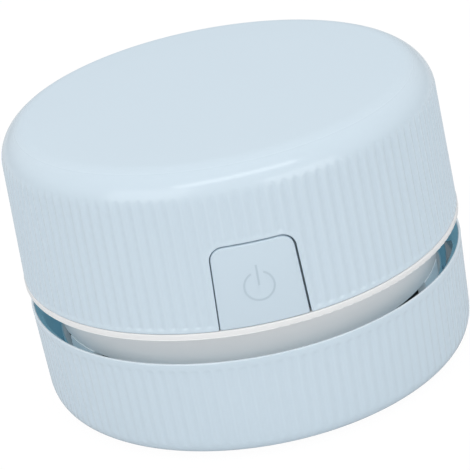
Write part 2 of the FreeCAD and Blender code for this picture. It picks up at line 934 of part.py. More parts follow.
def socket_front_y():
    half = socket_width / 2
    inner = shell_radius_at(socket_centre_z()) - shell_wall
    return math.sqrt(inner ** 2 - half ** 2) - socket_wall_gap


def socket_centre_z():
    return board_top_z() + socket_height / 2


def shell_radius_at(z):
    return shell_bottom_radius - shell_draft_share * (z - shell_base_z)


def rounded_bar(width, height, y_low, y_high, centre_x, centre_z):
    """Bar along Y whose section is a slot with round ends."""
    radius = height / 2
    reach = width / 2 - radius
    bar = block(centre_x - reach, centre_x + reach, y_low, y_high, centre_z - radius, centre_z + radius)
    ends = [Part.makeCylinder(radius, y_high - y_low, Vector(centre_x + side * reach, y_low, centre_z),
                              Vector(0, 1, 0)) for side in (-1, 1)]
    return bar.fuse(ends).removeSplitter()


def usb_socket():
    front = socket_front_y()
    rear = front - socket_length
    z = socket_centre_z()
    body = rounded_bar(socket_width, socket_height, rear, front, 0, z)
    inside = rounded_bar(socket_width - socket_wall - socket_wall, socket_height - socket_wall - socket_wall,
                         rear + socket_wall, front + overrun, 0, z)
    half_tongue = socket_tongue_height / 2
    tongue = block(-socket_tongue_width / 2, socket_tongue_width / 2, rear, rear + socket_tongue_length,
                   z - half_tongue, z + half_tongue)
    return body.cut(inside).fuse(tongue).removeSplitter()


def led_rear_y():
    inner = shell_radius_at(socket_centre_z()) - shell_wall
    return math.sqrt(inner ** 2 - led_x ** 2) - led_wall_gap


def led_axis_z():
    return board_top_z() + led_body / 2


def charge_led():
    low = board_top_z()
    return block(led_x - led_body / 2, led_x + led_body / 2, led_rear_y() - led_body, led_rear_y(),
                 low, low + led_body)


def led_lens():
    """Light pipe from the lamp to the outside of the shell."""
    start = Vector(led_x, led_rear_y(), led_axis_z())
    pipe = Part.makeCylinder(lens_radius, ring_radius - led_rear_y(), start, Vector(0, 1, 0))
    return pipe.common(shell_form(rib_depth, rib_depth))


# Switch and power button

def stem_axis_z():
    return switch_base_z() + switch_body_height / 2


def along_y(radius, y_low, y_high):
    return Part.makeCylinder(radius, y_high - y_low, Vector(0, y_low, stem_axis_z()), Vector(0, 1, 0))


def plunger_front_y():
    return switch_front_y() - plunger_length + plunger_entry


def switch_body():
    low = switch_base_z()
    front = switch_front_y()
    body = block(-switch_half_width, switch_half_width, front, switch_rear_y(), low, low + switch_body_height)
    bore_depth = plunger_entry + button_travel + plunger_spare_depth
    return body.cut(along_y(plunger_radius + plunger_clearance, front - overrun, front + bore_depth))


def switch_plunger():
    return along_y(plunger_radius, plunger_front_y(), plunger_front_y() + plunger_length)


def button_prism(margin, low):
    """Upright outline of the button, grown by a margin, as a prism along Y through the front wall."""
    half_low = button_half_width_low + margin
    half_high = button_half_width_high + margin
    top = shell_base_z + button_height + margin
    corner = button_corner_round + margin
    front = -ring_radius - overrun
    diagonal = corner * (1 - math.sqrt(0.5))
    points = [
        Vector(-half_low, front, low), Vector(-half_high, front, top - corner),
        Vector(-half_high + diagonal, front, top - diagonal), Vector(-half_high + corner, front, top),
        Vector(half_high - corner, front, top), Vector(half_high - diagonal, front, top - diagonal),
        Vector(half_high, front, top - corner), Vector(half_low, front, low)]
    edges = [
        line(points[0], points[1]), arc(points[1], points[2], points[3]), line(points[3], points[4]),
        arc(points[4], points[5], points[6]), line(points[6], points[7]), line(points[7], points[0])]
    face = Part.Face(Part.Wire(edges))
    return face.extrude(Vector(0, ring_radius / 2, 0))


def power_button():
    """Smooth panel flush with the rib crests, a flange behind the wall and the stem that works the switch."""
    flange_depth = shell_wall + button_flange_gap
    inner = shell_form(flange_depth + button_flange_wall, shell_top_wall)
    panel = button_prism(0, shell_base_z).common(shell_form(0, 0)).cut(inner)
    flange = button_prism(button_flange_margin, shell_base_z).common(shell_form(flange_depth, shell_top_wall))
    flange = flange.cut(inner)
    stem = along_y(button_stem_radius, plunger_front_y() - button_stem_length - button_wall, plunger_front_y())
    return panel.fuse([flange, stem]).removeSplitter()


# Top shell

def shell_form(inset, top_inset):
    """Solid inside the shell's outer face, drawn in by an inset at the side and the top."""
    low_radius = shell_bottom_radius - inset
    corner = max(shell_edge_round - inset, shell_wall)
    lean = math.atan(shell_draft_share)
    crown_z = shell_top_z - top_inset
    centre_z = crown_z - corner
    shoulder_z = centre_z + corner * math.sin(lean)
    shoulder_radius = low_radius - shell_draft_share * (shoulder_z - shell_base_z)
    centre_radius = shoulder_radius - corner * math.cos(lean)
    middle = math.radians(45) + lean / 2
    corner_middle = flat_point(centre_radius + corner * math.cos(middle), centre_z + corner * math.sin(middle))
    shoulder = flat_point(shoulder_radius, shoulder_z)
    crown = flat_point(centre_radius, crown_z)
    base = flat_point(low_radius, shell_base_z)
    edges = [
        line(flat_point(0, shell_base_z), base),
        line(base, shoulder),
        arc(shoulder, corner_middle, crown),
        line(crown, flat_point(0, crown_z)),
        line(flat_point(0, crown_z), flat_point(0, shell_base_z)),
    ]
    return spun(edges)


def shell_bosses():
    ceiling = shell_top_z - shell_top_wall
    inside = shell_form(shell_wall / 2, shell_top_wall / 2)
    pieces = [post(boss_radius, c, deck_top_z, ceiling + shell_top_wall / 2) for c in shell_screw_centres(0)]
    for azimuth in shell_screw_azimuths:
        gusset = block(-boss_gusset_wall / 2, boss_gusset_wall / 2, -shell_bottom_radius, -pillar_pitch_radius,
                       ceiling - boss_gusset_drop, ceiling + shell_top_wall / 2)
        pieces.append(turned(gusset, azimuth).common(inside))
    return pieces


def top_shell():
    ribs_low = shell_base_z + shell_plain_band
    ribs_low_radius = shell_radius_at(ribs_low)
    body = with_ribs(shell_form(0, 0), ribs_low_radius, shell_radius_at(shell_top_z), ribs_low, shell_top_z)
    body = body.cut(shell_form(shell_wall, shell_top_wall))
    body = body.fuse(shell_bosses())
    cuts = [button_prism(button_gap, shell_base_z - overrun)]
    wall_low = socket_front_y()
    port_width = socket_width + port_clearance + port_clearance
    port_height = socket_height + port_clearance + port_clearance
    cuts.append(rounded_bar(port_width, port_height, wall_low, ring_radius + overrun, 0, socket_centre_z()))
    lens_start = Vector(led_x, led_rear_y(), led_axis_z())
    lens_reach = ring_radius - led_rear_y()
    cuts.append(Part.makeCylinder(lens_radius + lens_clearance, lens_reach, lens_start, Vector(0, 1, 0)))
    screw_top = ring_base_z + screw_bite + screw_tip_gap
    cuts += [post(screw_shank_radius, c, deck_top_z - overrun, screw_top) for c in shell_screw_centres(0)]
    return body.cut(cuts).removeSplitter()


# Leads

def lead(points):
    """Insulated wire along straight runs joined by tangent arcs."""
    edges = []
    start = points[0]
    radii = []
    for before, corner, after in zip(points, points[1:], points[2:]):
        run_in = corner - before
        run_out = after - corner
        cut = lead_bend_share * min(run_in.Length, run_out.Length)
        run_in.normalize()
        run_out.normalize()
        half_turn = run_in.getAngle(run_out) / 2
        radius = cut / math.tan(half_turn)
        radii.append(round(radius, 1))
        inward = run_out - run_in
        inward.normalize()
        centre = corner + inward * (radius / math.cos(half_turn))
        arc_start = corner - run_in * cut
        arc_end = corner + run_out * cut
        edges.append(line(start, arc_start))
        edges.append(arc(arc_start, centre - inward * radius, arc_end))
        start = arc_end
    edges.append(line(start, points[-1]))
    spine = Part.Wire(edges)
    section = Part.Wire(Part.Circle(points[0], points[1] - points[0], lead_radius).toShape())
    body = spine.makePipeShell([section], True, False)
    expected = math.pi * lead_radius ** 2 * spine.Length
    print("lead radii", radii, "volume share", round(body.Volume / expected, 4))
    return body


def motor_lead(side):
    z = motor_top_z() + end_cap_height + terminal_height * terminal_lead_share
    x = side * terminal_offset
    return lead([
        Vector(x, terminal_thickness / 2, z), Vector(x, 7, z), Vector(side * 6.8, 14, z - 2.9),
        Vector(side * 7.1, 17.4, 41), Vector(side * 7.2, 18, 36), Vector(side * 7.2, 18, board_top_z())])


def battery_lead_red():
    start = Vector(cell_centre_x() + 2.4, cell_length / 2 + tab_thickness, cell_centre_z())
    return lead([
        start, start + Vector(0, 4.6, 0), Vector(21.9, 30.6, 35.1), Vector(16.7, 32.3, 35.6),
        Vector(12.6, 31.4, 35.2), Vector(12.6, 31.4, board_top_z())])


def battery_lead_black():
    start = Vector(cell_centre_x() + 2.4, -cell_length / 2 - tab_thickness, cell_centre_z())
    return lead([
        start, start + Vector(0, -4.2, 0), Vector(25.4, -25.6, 40.2), Vector(22.2, -19.6, 44),
        Vector(17.5, -13.0, 43.2), Vector(16.2, -3, 42), Vector(16.0, 8, 41.8), Vector(15.4, 16.8, 40.4),
        Vector(13.6, 23.2, 36.6), Vector(13.6, 23.2, board_top_z())])


def switch_lead(rise, end_x, end_y):
    z = switch_base_z() + switch_body_height / 2 + rise
    return lead([
        Vector(-1.2, switch_rear_y(), z), Vector(-1.2, -18.4, z), Vector(-6.6, -15.6, z), Vector(-12.8, -9.6, z),
        Vector(-16.0, -1, z), Vector(-15.6, 8, z), Vector(-14.4, 13.2, z),
        Vector(end_x, end_y, z), Vector(end_x, end_y, board_top_z())])


def build():
    os.makedirs("parts", exist_ok=True)
    save(dust_cup(), "dust_cup")
    save(bowl_ring(), "bowl_ring")
    save(foot_pads(), "foot_pads")
    save(inlet_plate(), "inlet_plate")
    save(brush_ring(), "brush_ring")
    save(bristle_tufts(), "bristle_tufts")
    save(inlet_screws(), "inlet_screws")
    save(bowl_seal(), "bowl_seal")
    save(filter_frame(), "filter_frame")
    save(filter_mesh(), "filter_mesh")
    save(fan_floor(), "fan_floor")
    save(floor_screws(), "floor_screws")
    save(drum(), "drum")
    save(mid_frame(), "mid_frame")
    save(impeller(), "impeller")
    save(motor_shaft(), "motor_shaft")
    save(motor_can(), "motor_can")
    save(motor_bushing(), "motor_bushing")
    save(motor_end_cap(), "motor_end_cap")
    save(motor_terminals(), "motor_terminals")
    save(motor_screws(), "motor_screws")
    save(battery_cell(), "battery_cell")
    save(battery_tabs(), "battery_tabs")
    save(battery_clip(), "battery_clip")
    save(main_board(), "main_board")
    save(board_screws(), "board_screws")
    save(board_parts(), "board_parts")
    save(usb_socket(), "usb_socket")
    save(charge_led(), "charge_led")
    save(led_lens(), "led_lens")
    save(switch_body(), "switch_body")
    save(switch_plunger(), "switch_plunger")
    save(power_button(), "power_button")
    save(shell_screws(), "shell_screws")
    save(top_shell(), "top_shell")
    save(motor_lead(1), "motor_lead_red")
    save(motor_lead(-1), "motor_lead_black")
    save(battery_lead_red(), "battery_lead_red")
    save(battery_lead_black(), "battery_lead_black")
    save(switch_lead(-0.8, -13.2, 17.0), "switch_lead_red")
    save(switch_lead(1.2, -13.4, 23.6), "switch_lead_black")


build()
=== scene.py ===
import bmesh
import bpy
import json
import math
from mathutils import Matrix, Vector

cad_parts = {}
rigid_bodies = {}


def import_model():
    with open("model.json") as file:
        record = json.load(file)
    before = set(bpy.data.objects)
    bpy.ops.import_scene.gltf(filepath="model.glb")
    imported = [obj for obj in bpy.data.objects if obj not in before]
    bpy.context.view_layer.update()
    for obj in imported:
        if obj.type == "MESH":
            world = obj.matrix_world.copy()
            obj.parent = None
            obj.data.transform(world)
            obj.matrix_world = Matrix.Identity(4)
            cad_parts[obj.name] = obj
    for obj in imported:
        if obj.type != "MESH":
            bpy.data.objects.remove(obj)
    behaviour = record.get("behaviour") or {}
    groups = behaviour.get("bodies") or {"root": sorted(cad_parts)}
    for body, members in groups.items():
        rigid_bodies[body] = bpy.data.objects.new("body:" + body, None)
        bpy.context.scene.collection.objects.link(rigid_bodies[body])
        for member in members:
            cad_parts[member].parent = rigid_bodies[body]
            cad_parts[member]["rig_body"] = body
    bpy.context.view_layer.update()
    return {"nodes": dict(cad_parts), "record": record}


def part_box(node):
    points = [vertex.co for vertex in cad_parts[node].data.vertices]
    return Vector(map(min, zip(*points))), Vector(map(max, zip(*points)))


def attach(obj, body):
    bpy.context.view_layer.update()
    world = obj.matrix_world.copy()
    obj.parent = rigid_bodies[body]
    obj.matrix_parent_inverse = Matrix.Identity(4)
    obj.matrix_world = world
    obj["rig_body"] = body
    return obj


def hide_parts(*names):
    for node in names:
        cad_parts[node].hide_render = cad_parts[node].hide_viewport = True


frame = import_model()
nodes = frame["nodes"]
mm = 0.001
fullTurn = 2 * math.pi
# points nearer than the seam are joined; cuts use the finer tolerance
seam = 0.0005 * mm
cutTolerance = 0.0001 * mm
print("frame loaded:", len(nodes), "nodes")


# Small helpers for meshes

def finishPiece(bm, name, body=None, replaced=None, smooth=True):
    # closes seams and poles and turns the faces outwards; with a body, hands the piece to it
    bmesh.ops.remove_doubles(bm, verts=bm.verts, dist=seam)
    bmesh.ops.recalc_face_normals(bm, faces=bm.faces)
    mesh = bpy.data.meshes.new(name)
    bm.to_mesh(mesh)
    bm.free()
    piece = bpy.data.objects.new(name, mesh)
    bpy.context.scene.collection.objects.link(piece)
    for polygon in mesh.polygons:
        polygon.use_smooth = smooth
    if body:
        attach(piece, body)
    if replaced:
        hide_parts(*replaced)
    return piece


def applyModifiers(piece):
    graph = bpy.context.evaluated_depsgraph_get()
    mesh = bpy.data.meshes.new_from_object(piece.evaluated_get(graph))
    old = piece.data
    piece.modifiers.clear()
    piece.data = mesh
    bpy.data.meshes.remove(old)


def cutWith(piece, cutter, operation="DIFFERENCE"):
    cut = piece.modifiers.new("cut", "BOOLEAN")
    cut.operation = operation
    cut.solver = "EXACT"
    cut.object = cutter
    applyModifiers(piece)
    bpy.data.objects.remove(cutter)


def joinPiece(piece, bm):
    # small forms built on their own go into the piece's mesh
    bmesh.ops.recalc_face_normals(bm, faces=bm.faces)
    extra = bpy.data.meshes.new("extra")
    bm.to_mesh(extra)
    bm.free()
    whole = bmesh.new()
    whole.from_mesh(piece.data)
    whole.from_mesh(extra)
    whole.to_mesh(piece.data)
    whole.free()
    bpy.data.meshes.remove(extra)


def sharpenByAngle(piece, degrees):
    # smooth shading with creases kept where the surface turns hard
    bm = bmesh.new()
    bm.from_mesh(piece.data)
    limit = math.radians(degrees)
    for edge in bm.edges:
        edge.smooth = len(edge.link_faces) != 2 or edge.calc_face_angle(0) < limit
    for face in bm.faces:
        face.smooth = True
    bm.to_mesh(piece.data)
    bm.free()


def arcPoints(centreR, centreZ, radius, startDegrees, endDegrees, steps, heightShare=1.0):
    # points of a rounding in the (radius, height) plane
    points = []
    for step in range(steps + 1):
        angle = math.radians(startDegrees + (endDegrees - startDegrees) * step / steps)
        points.append((centreR + radius * math.cos(angle),
                       centreZ + radius * heightShare * math.sin(angle)))
    return points


def spinProfile(points, steps, sectors=16):
    # a sector is spun from the closed profile and repeated about the axis
    sector = bmesh.new()
    rim = [sector.verts.new((r, 0, z)) for r, z in points]
    edges = [sector.edges.new(pair) for pair in zip(rim, rim[1:] + rim[:1])]
    bmesh.ops.spin(sector, geom=rim + edges, cent=(0, 0, 0), axis=(0, 0, 1),
                   angle=fullTurn / sectors, steps=steps // sectors)
    mesh = bpy.data.meshes.new("sector")
    sector.to_mesh(mesh)
    sector.free()
    bm = bmesh.new()
    for index in range(sectors):
        bm.from_mesh(mesh)
        mesh.transform(Matrix.Rotation(fullTurn / sectors, 4, "Z"))
    bpy.data.meshes.remove(mesh)
    bmesh.ops.remove_doubles(bm, verts=bm.verts, dist=seam)
    return bm


def addPlate(bm, points, yStart, yEnd):
    # a plate whose outline is given in x and z
    face = bm.faces.new([bm.verts.new((x, yStart, z)) for x, z in points])
    swept = bmesh.ops.extrude_face_region(bm, geom=[face])["geom"]
    moved = [item for item in swept if isinstance(item, bmesh.types.BMVert)]
    bmesh.ops.translate(bm, verts=moved, vec=(0, yEnd - yStart, 0))


def newPlate(points, yStart, yEnd):
    bm = bmesh.new()
    addPlate(bm, points, yStart, yEnd)
    return bm


def softMin(a, b, width):
    # smaller of two radii with the corner between them rounded over the width
    if width <= 0:
        return min(a, b)
    mix = max(width - abs(a - b), 0) / width
    return min(a, b) - mix * mix * width / 4


def smoothStep(low, high, value):
    share = min(max((value - low) / (high - low), 0), 1)
    return share * share * (3 - 2 * share)


# Sizes read from the frame

shellLow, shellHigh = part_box("top_shell")
cupLow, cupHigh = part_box("dust_cup")
sealLow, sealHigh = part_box("bowl_seal")
socketLow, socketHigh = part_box("usb_socket")
lensLow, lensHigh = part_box("led_lens")
shellRadius = shellHigh.x
cupRadius = cupHigh.x
# the shell and the button end a hair lower than their solids, for the photo's fine parting line
shellBase = shellLow.z - 0.09 * mm

ribs = {"count": 122, "depth": 0.3 * mm, "cupDepth": 0.22 * mm, "stepsPerRib": 8,
        "blend": 0.12 * mm}


def ribWave(angle):
    # 0 on a crest, 1 in a valley; one crest lies on the button's middle
    return 0.5 - 0.5 * math.cos(ribs["count"] * angle)


def pressRib(vert, radius, face, depth):
    # moves a point of the outer skin in to the wave of the ribs
    valley = face - depth * ribWave(math.atan2(vert.co.x, -vert.co.y))
    scaled = softMin(radius, valley, ribs["blend"] if depth else 0) / radius
    vert.co.x *= scaled
    vert.co.y *= scaled


# Top shell

topShell = {
    "draft": 1.0 / 22.35,
    "edgeRound": 6.25 * mm,
    "footRound": 0.2 * mm,
    "plainBand": 0.7 * mm,
    "ribFade": 0.25 * mm,
    "wall": 2.0 * mm,
    "topWall": 2.2 * mm,
    # where the outer skin ends: a share of the wall, of the edge's rounding and of the radius
    "skinShare": 0.7,
    "crownShare": 0.6,
    "topShare": 0.8,
    # rows of points, measured from the plain band's end, the notch's top and the shoulder
    "bandRows": (-0.2 * mm, 0, 0.2 * mm, 0.4 * mm, 2 * mm, 5 * mm, 8 * mm),
    "notchRows": (-3 * mm, -1.5 * mm, -0.5 * mm, 0, 0.25 * mm, 0.5 * mm, 0.8 * mm, 1.2 * mm,
                  3 * mm),
    "shoulderRow": 1.5 * mm,
    "crownRows": (0.75, 0.4, 0),
    "footSteps": 3,
    "edgeSteps": 20,
    "innerSteps": 5,
    "buttonHalfLow": 7.86 * mm,
    "buttonHalfHigh": 7.3 * mm,
    "buttonHeight": 15.0 * mm,
    "buttonCorner": 2.4 * mm,
    "buttonFoot": 0.35 * mm,
    "buttonGap": 0.24 * mm,
    "cornerSteps": 8,
    "buttonFootSteps": 4,
    "notchRound": 0.28 * mm,
    "notchSteps": 5,
    "notchFadeFrom": 0.2 * mm,
    "notchFadeTo": 1.0 * mm,
    "cutterReach": 2.0 * mm,
    "cutterBack": 8.0 * mm,
    "cutterSide": 1.5 * mm,
    "cutterStrip": 0.4 * mm,
    "portMargin": 0.3 * mm,
    "portFrom": 0.8,
    "portTo": 1.1,
    "lightMargin": 0.05 * mm,
    "slotSpare": 0.001 * mm,
    "slotSteps": 10,
    "bossAzimuths": (40.0, 140.0, 220.0, 320.0),
    "bossPitch": 32.3 * mm,
    "bossRadius": 3.0 * mm,
    "bossHole": 0.95 * mm,
    "bossRise": 0.1 * mm,
    "bossSunk": 0.2 * mm,
    "crease": 50,
}


def shellOuterRadius(z):
    # the drafted side without its edge rounding
    return shellRadius - topShell["draft"] * (z - shellLow.z)


def shellOuterPoints():
    s = topShell
    lean = math.atan(s["draft"])
    crown = shellHigh.z
    centreZ = crown - s["edgeRound"]
    shoulderZ = centreZ + s["edgeRound"] * math.sin(lean)
    centreR = shellOuterRadius(shoulderZ) - s["edgeRound"] * math.cos(lean)
    foot = s["footRound"]
    points = arcPoints(shellRadius - foot, shellBase + foot, foot, -90, 0, s["footSteps"])
    bandEnd = shellLow.z + s["plainBand"]
    notchTop = shellLow.z + s["buttonHeight"] + s["buttonGap"]
    rows = [bandEnd + rise for rise in s["bandRows"]]
    rows += [notchTop + rise for rise in s["notchRows"]]
    rows.append(shoulderZ - s["shoulderRow"])
    points += [(shellOuterRadius(z), z) for z in rows]
    points += arcPoints(centreR, centreZ, s["edgeRound"], math.degrees(lean), 90, s["edgeSteps"])
    points += [(centreR * share, crown) for share in s["crownRows"]]
    return points


def shellInnerPoints():
    s = topShell
    ceiling = shellHigh.z - s["topWall"]
    corner = s["edgeRound"] - s["wall"]
    centreZ = ceiling - corner
    centreR = shellOuterRadius(centreZ) - s["wall"] - corner
    points = [(0, ceiling)]
    points += arcPoints(centreR, centreZ, corner, 90, 0, s["innerSteps"])
    points.append((shellRadius - s["wall"], shellBase))
    return points


def buttonOutline(grow, footSide):
    # upright outline from low left round to low right
    # the foot corners turn inwards (1) or flare outwards (-1)
    s = topShell
    top = shellLow.z + s["buttonHeight"] + grow
    corner = s["buttonCorner"] + grow
    halfHigh = s["buttonHalfHigh"] + grow
    halfLow = s["buttonHalfLow"] + grow
    foot = s["buttonFoot"]
    start = 90 - 90 * footSide
    footRight = arcPoints(halfLow - footSide * foot, shellBase + foot, foot,
                          start, start - 90 * footSide, s["buttonFootSteps"])
    footLeft = [(-x, z) for x, z in reversed(footRight)]
    left = arcPoints(-halfHigh + corner, top - corner, corner, 180, 90, s["cornerSteps"])
    right = arcPoints(halfHigh - corner, top - corner, corner, 90, 0, s["cornerSteps"])
    return footLeft + left + right + footRight


def slotOutline(width, height, centreX, centreZ):
    radius = height / 2
    reach = width / 2 - radius
    steps = topShell["slotSteps"]
    right = arcPoints(centreX + reach, centreZ, radius, -90, 90, steps)
    left = arcPoints(centreX - reach, centreZ, radius, 90, 270, steps)
    return right + left


def notchCutter():
    # the button's outline grown by the gap, flared to a rounding where it meets the outer face
    s = topShell
    flare = s["notchRound"]
    levels = [(-s["cutterReach"], flare)]
    levels += arcPoints(flare, flare, flare, 180, 270, s["notchSteps"])
    levels.append((s["cutterBack"], 0))
    low = shellBase - s["cutterReach"]
    bm = bmesh.new()
    loops = []
    for depth, grow in levels:
        outline = buttonOutline(s["buttonGap"] + grow, -1)
        outline = [(outline[0][0], low)] + outline + [(outline[-1][0], low)]
        loops.append([bm.verts.new((x, depth, z)) for x, z in outline])
    rings = [[bm.edges.new(pair) for pair in zip(loop, loop[1:] + loop[:1])] for loop in loops]
    for first, second in zip(rings, rings[1:]):
        bmesh.ops.bridge_loops(bm, edges=first + second)
    bm.faces.new(loops[0])
    bm.faces.new(loops[-1])
    wide = s["buttonHalfLow"] + s["cutterSide"]
    gridded(bm, -wide, wide, s["cutterStrip"])
    wrapToShell(bm)
    return finishPiece(bm, "notchCutter", smooth=False)


def prismCutter(outlines):
    # each outline is (points in x and z, y of one end, y of the other)
    bm = bmesh.new()
    for points, yStart, yEnd in outlines:
        addPlate(bm, points, yStart, yEnd)
    return finishPiece(bm, "cutter", smooth=False)


def notchDistance(x, z):
    # how far a point on the front lies outside the button's outline
    s = topShell
    corner = s["buttonCorner"]
    top = shellLow.z + s["buttonHeight"]
    lean = (s["buttonHalfLow"] - s["buttonHalfHigh"]) / s["buttonHeight"]
    half = s["buttonHalfLow"] - lean * min(z - shellLow.z, s["buttonHeight"])
    overX = abs(x) - (half - corner)
    overZ = z - (top - corner)
    if overX > 0 and overZ > 0:
        return math.hypot(overX, overZ) - corner
    return max(overX, overZ) - corner


def makeTopShell():
    s = topShell
    outer = shellOuterPoints()
    bm = spinProfile(outer + shellInnerPoints(), ribs["count"] * ribs["stepsPerRib"])
    bandEnd = shellLow.z + s["plainBand"]
    skin = s["wall"] * s["skinShare"]
    crownFrom = shellHigh.z - s["edgeRound"] * s["crownShare"]
    for vert in bm.verts:
        radius = math.hypot(vert.co.x, vert.co.y)
        face = shellOuterRadius(vert.co.z)
        onOuter = radius > face - skin or vert.co.z > crownFrom
        if radius < face * s["topShare"] or not onOuter:
            continue
        rise = smoothStep(bandEnd - s["ribFade"], bandEnd + s["ribFade"], vert.co.z)
        depth = ribs["depth"] * rise
        if vert.co.y < 0:
            clear = notchDistance(vert.co.x, vert.co.z) - s["buttonGap"]
            depth *= smoothStep(s["notchFadeFrom"], s["notchFadeTo"], clear)
        pressRib(vert, radius, face, depth)
    piece = finishPiece(bm, "topShell", "head", ["top_shell"])
    lightSize = lensHigh.x - lensLow.x + 2 * s["lightMargin"]
    lightHole = slotOutline(lightSize + s["slotSpare"], lightSize,
                            (lensLow.x + lensHigh.x) / 2, (lensLow.z + lensHigh.z) / 2)
    port = slotOutline(socketHigh.x - socketLow.x + 2 * s["portMargin"],
                       socketHigh.z - socketLow.z + 2 * s["portMargin"],
                       0, (socketLow.z + socketHigh.z) / 2)
    reach = (shellRadius * s["portFrom"], shellRadius * s["portTo"])
    cutWith(piece, prismCutter([(port, *reach), (lightHole, *reach)]))
    cutWith(piece, notchCutter())
    posts = bmesh.new()
    for azimuth in s["bossAzimuths"]:
        screwPost(posts, azimuth, s["bossPitch"], s["bossRadius"], s["bossHole"],
                  shellLow.z + s["bossRise"], shellHigh.z - s["topWall"] + s["bossSunk"])
    joinPiece(piece, posts)
    sharpenByAngle(piece, s["crease"])
    return piece


def screwPost(bm, azimuth, pitch, outer, inner, low, high, sides=32):
    # an upright tube for a screw, spun about its own axis
    angle = math.radians(azimuth)
    centre = Vector((pitch * math.sin(angle), -pitch * math.cos(angle), 0))
    corners = [(inner, low), (outer, low), (outer, high), (inner, high)]
    verts = [bm.verts.new(centre + Vector((r, 0, z))) for r, z in corners]
    edges = [bm.edges.new(pair) for pair in zip(verts, verts[1:] + verts[:1])]
    bmesh.ops.spin(bm, geom=verts + edges, cent=centre, axis=(0, 0, 1), angle=fullTurn,
                   steps=sides, use_merge=True)


# Dust cup

dustCup = {
    "baseRoundWidth": 1.4 * mm,
    "baseRoundHeight": 3.3 * mm,
    "baseInset": 0.2 * mm,
    "baseSteps": 10,
    "skinShare": 0.99,
    "wall": 1.6 * mm,
    "lipWall": 0.45 * mm,
    "lipHeight": 0.25 * mm,
    "lipSlope": 1.15 * mm,
    "lipRound": 0.25 * mm,
    "lipBevel": 0.04 * mm,
    "lipSteps": 4,
    "rimDrop": 0.2 * mm,
    "rimSlant": 0.0052,
    "plainBand": 1.1 * mm,
    "ribFade": 0.9 * mm,
    "fadeOver": 0.1 * mm,
    "sideRows": 7,
    "fadeRows": 4,
    "floor": 2.4 * mm,
    "grooveInner": 35.75 * mm,
    "grooveOuter": 37.45 * mm,
    "grooveDepth": 0.6 * mm,
    "tubHole": 17.8 * mm,
    "plateSeat": 22.7 * mm,
    "plateSeatDepth": 1.2 * mm,
    "bossAzimuths": (0.0, 120.0, 240.0),
    "bossPitch": 20.05 * mm,
    "bossRadius": 2.65 * mm,
    "bossHole": 0.95 * mm,
    "bossHeight": 5.2 * mm,
    "footAzimuths": (45.0, 135.0, 225.0, 315.0),
    "footPitch": 31.5 * mm,
    "footSeat": 3.6 * mm,
    "footSeatDepth": 0.6 * mm,
    "footSides": 40,
    "sunk": 0.2 * mm,
    "hookInner": 38.6 * mm,
    "hookHeight": 1.5 * mm,
    "hookGap": 0.2 * mm,
    "lugHeight": 1.5 * mm,
    "lugAzimuths": (65.0, 180.0, 295.0),
    "lockTurn": 13.5,
    "lugWidth": 12.0,
    "stopGap": 0.5,
    "stopWidth": 2.0,
    "crease": 50,
}


def cupOuterRadius(z):
    share = (z - cupLow.z) / (cupHigh.z - cupLow.z)
    return cupRadius - dustCup["baseInset"] * (1 - share)


def cupProfile():
    s = dustCup
    baseR = cupOuterRadius(cupLow.z)
    rise = s["baseRoundHeight"] / s["baseRoundWidth"]
    outer = [(s["plateSeat"], cupLow.z)]
    outer += arcPoints(baseR - s["baseRoundWidth"], cupLow.z + s["baseRoundHeight"],
                       s["baseRoundWidth"], -90, 0, s["baseSteps"], rise)
    ribTop = cupHigh.z - s["plainBand"]
    start = cupLow.z + s["baseRoundHeight"]
    for row in range(1, s["sideRows"]):
        z = start + (ribTop - s["ribFade"] - start) * row / s["sideRows"]
        outer.append((cupOuterRadius(z), z))
    for row in range(s["fadeRows"] + 1):
        z = ribTop + s["fadeOver"] - (s["ribFade"] + s["fadeOver"]) * (1 - row / s["fadeRows"])
        outer.append((cupOuterRadius(z), z))
    lipRound = s["lipRound"]
    outer += arcPoints(cupRadius - lipRound, cupHigh.z - lipRound, lipRound, 0, 90, s["lipSteps"])
    innerR = cupRadius - s["wall"]
    lipR = cupRadius - s["lipWall"]
    lipLow = cupHigh.z - s["lipHeight"]
    floorTop = cupLow.z + s["floor"]
    grooveLow = floorTop - s["grooveDepth"]
    seatTop = cupLow.z + s["plateSeatDepth"]
    bevel = s["lipBevel"]
    inner = [(lipR + bevel, cupHigh.z), (lipR, cupHigh.z - bevel), (lipR, lipLow),
             (innerR, lipLow - s["lipSlope"]), (innerR, floorTop),
             (s["grooveOuter"], floorTop), (s["grooveOuter"], grooveLow),
             (s["grooveInner"], grooveLow), (s["grooveInner"], floorTop),
             (s["tubHole"], floorTop), (s["tubHole"], seatTop), (s["plateSeat"], seatTop)]
    return outer + inner


def sectorBlock(bm, inner, outer, low, high, azimuth, width):
    # a piece of a ring, spun from its section
    start = math.radians(azimuth - width / 2 - 90)
    corners = [(inner, low), (outer, low), (outer, high), (inner, high)]
    turn = Matrix.Rotation(start, 4, "Z")
    verts = [bm.verts.new(turn @ Vector((r, 0, z))) for r, z in corners]
    face = bm.faces.new(verts)
    bmesh.ops.spin(bm, geom=[face], cent=(0, 0, 0), axis=(0, 0, 1),
                   angle=math.radians(width), steps=max(2, round(width)))


def footCutter():
    s = dustCup
    bm = bmesh.new()
    depth = 2 * s["footSeatDepth"]
    for azimuth in s["footAzimuths"]:
        angle = math.radians(azimuth)
        centre = (s["footPitch"] * math.sin(angle), -s["footPitch"] * math.cos(angle), cupLow.z)
        bmesh.ops.create_cone(bm, cap_ends=True, segments=s["footSides"], radius1=s["footSeat"],
                              radius2=s["footSeat"], depth=depth,
                              matrix=Matrix.Translation(centre))
    return finishPiece(bm, "footCutter", smooth=False)


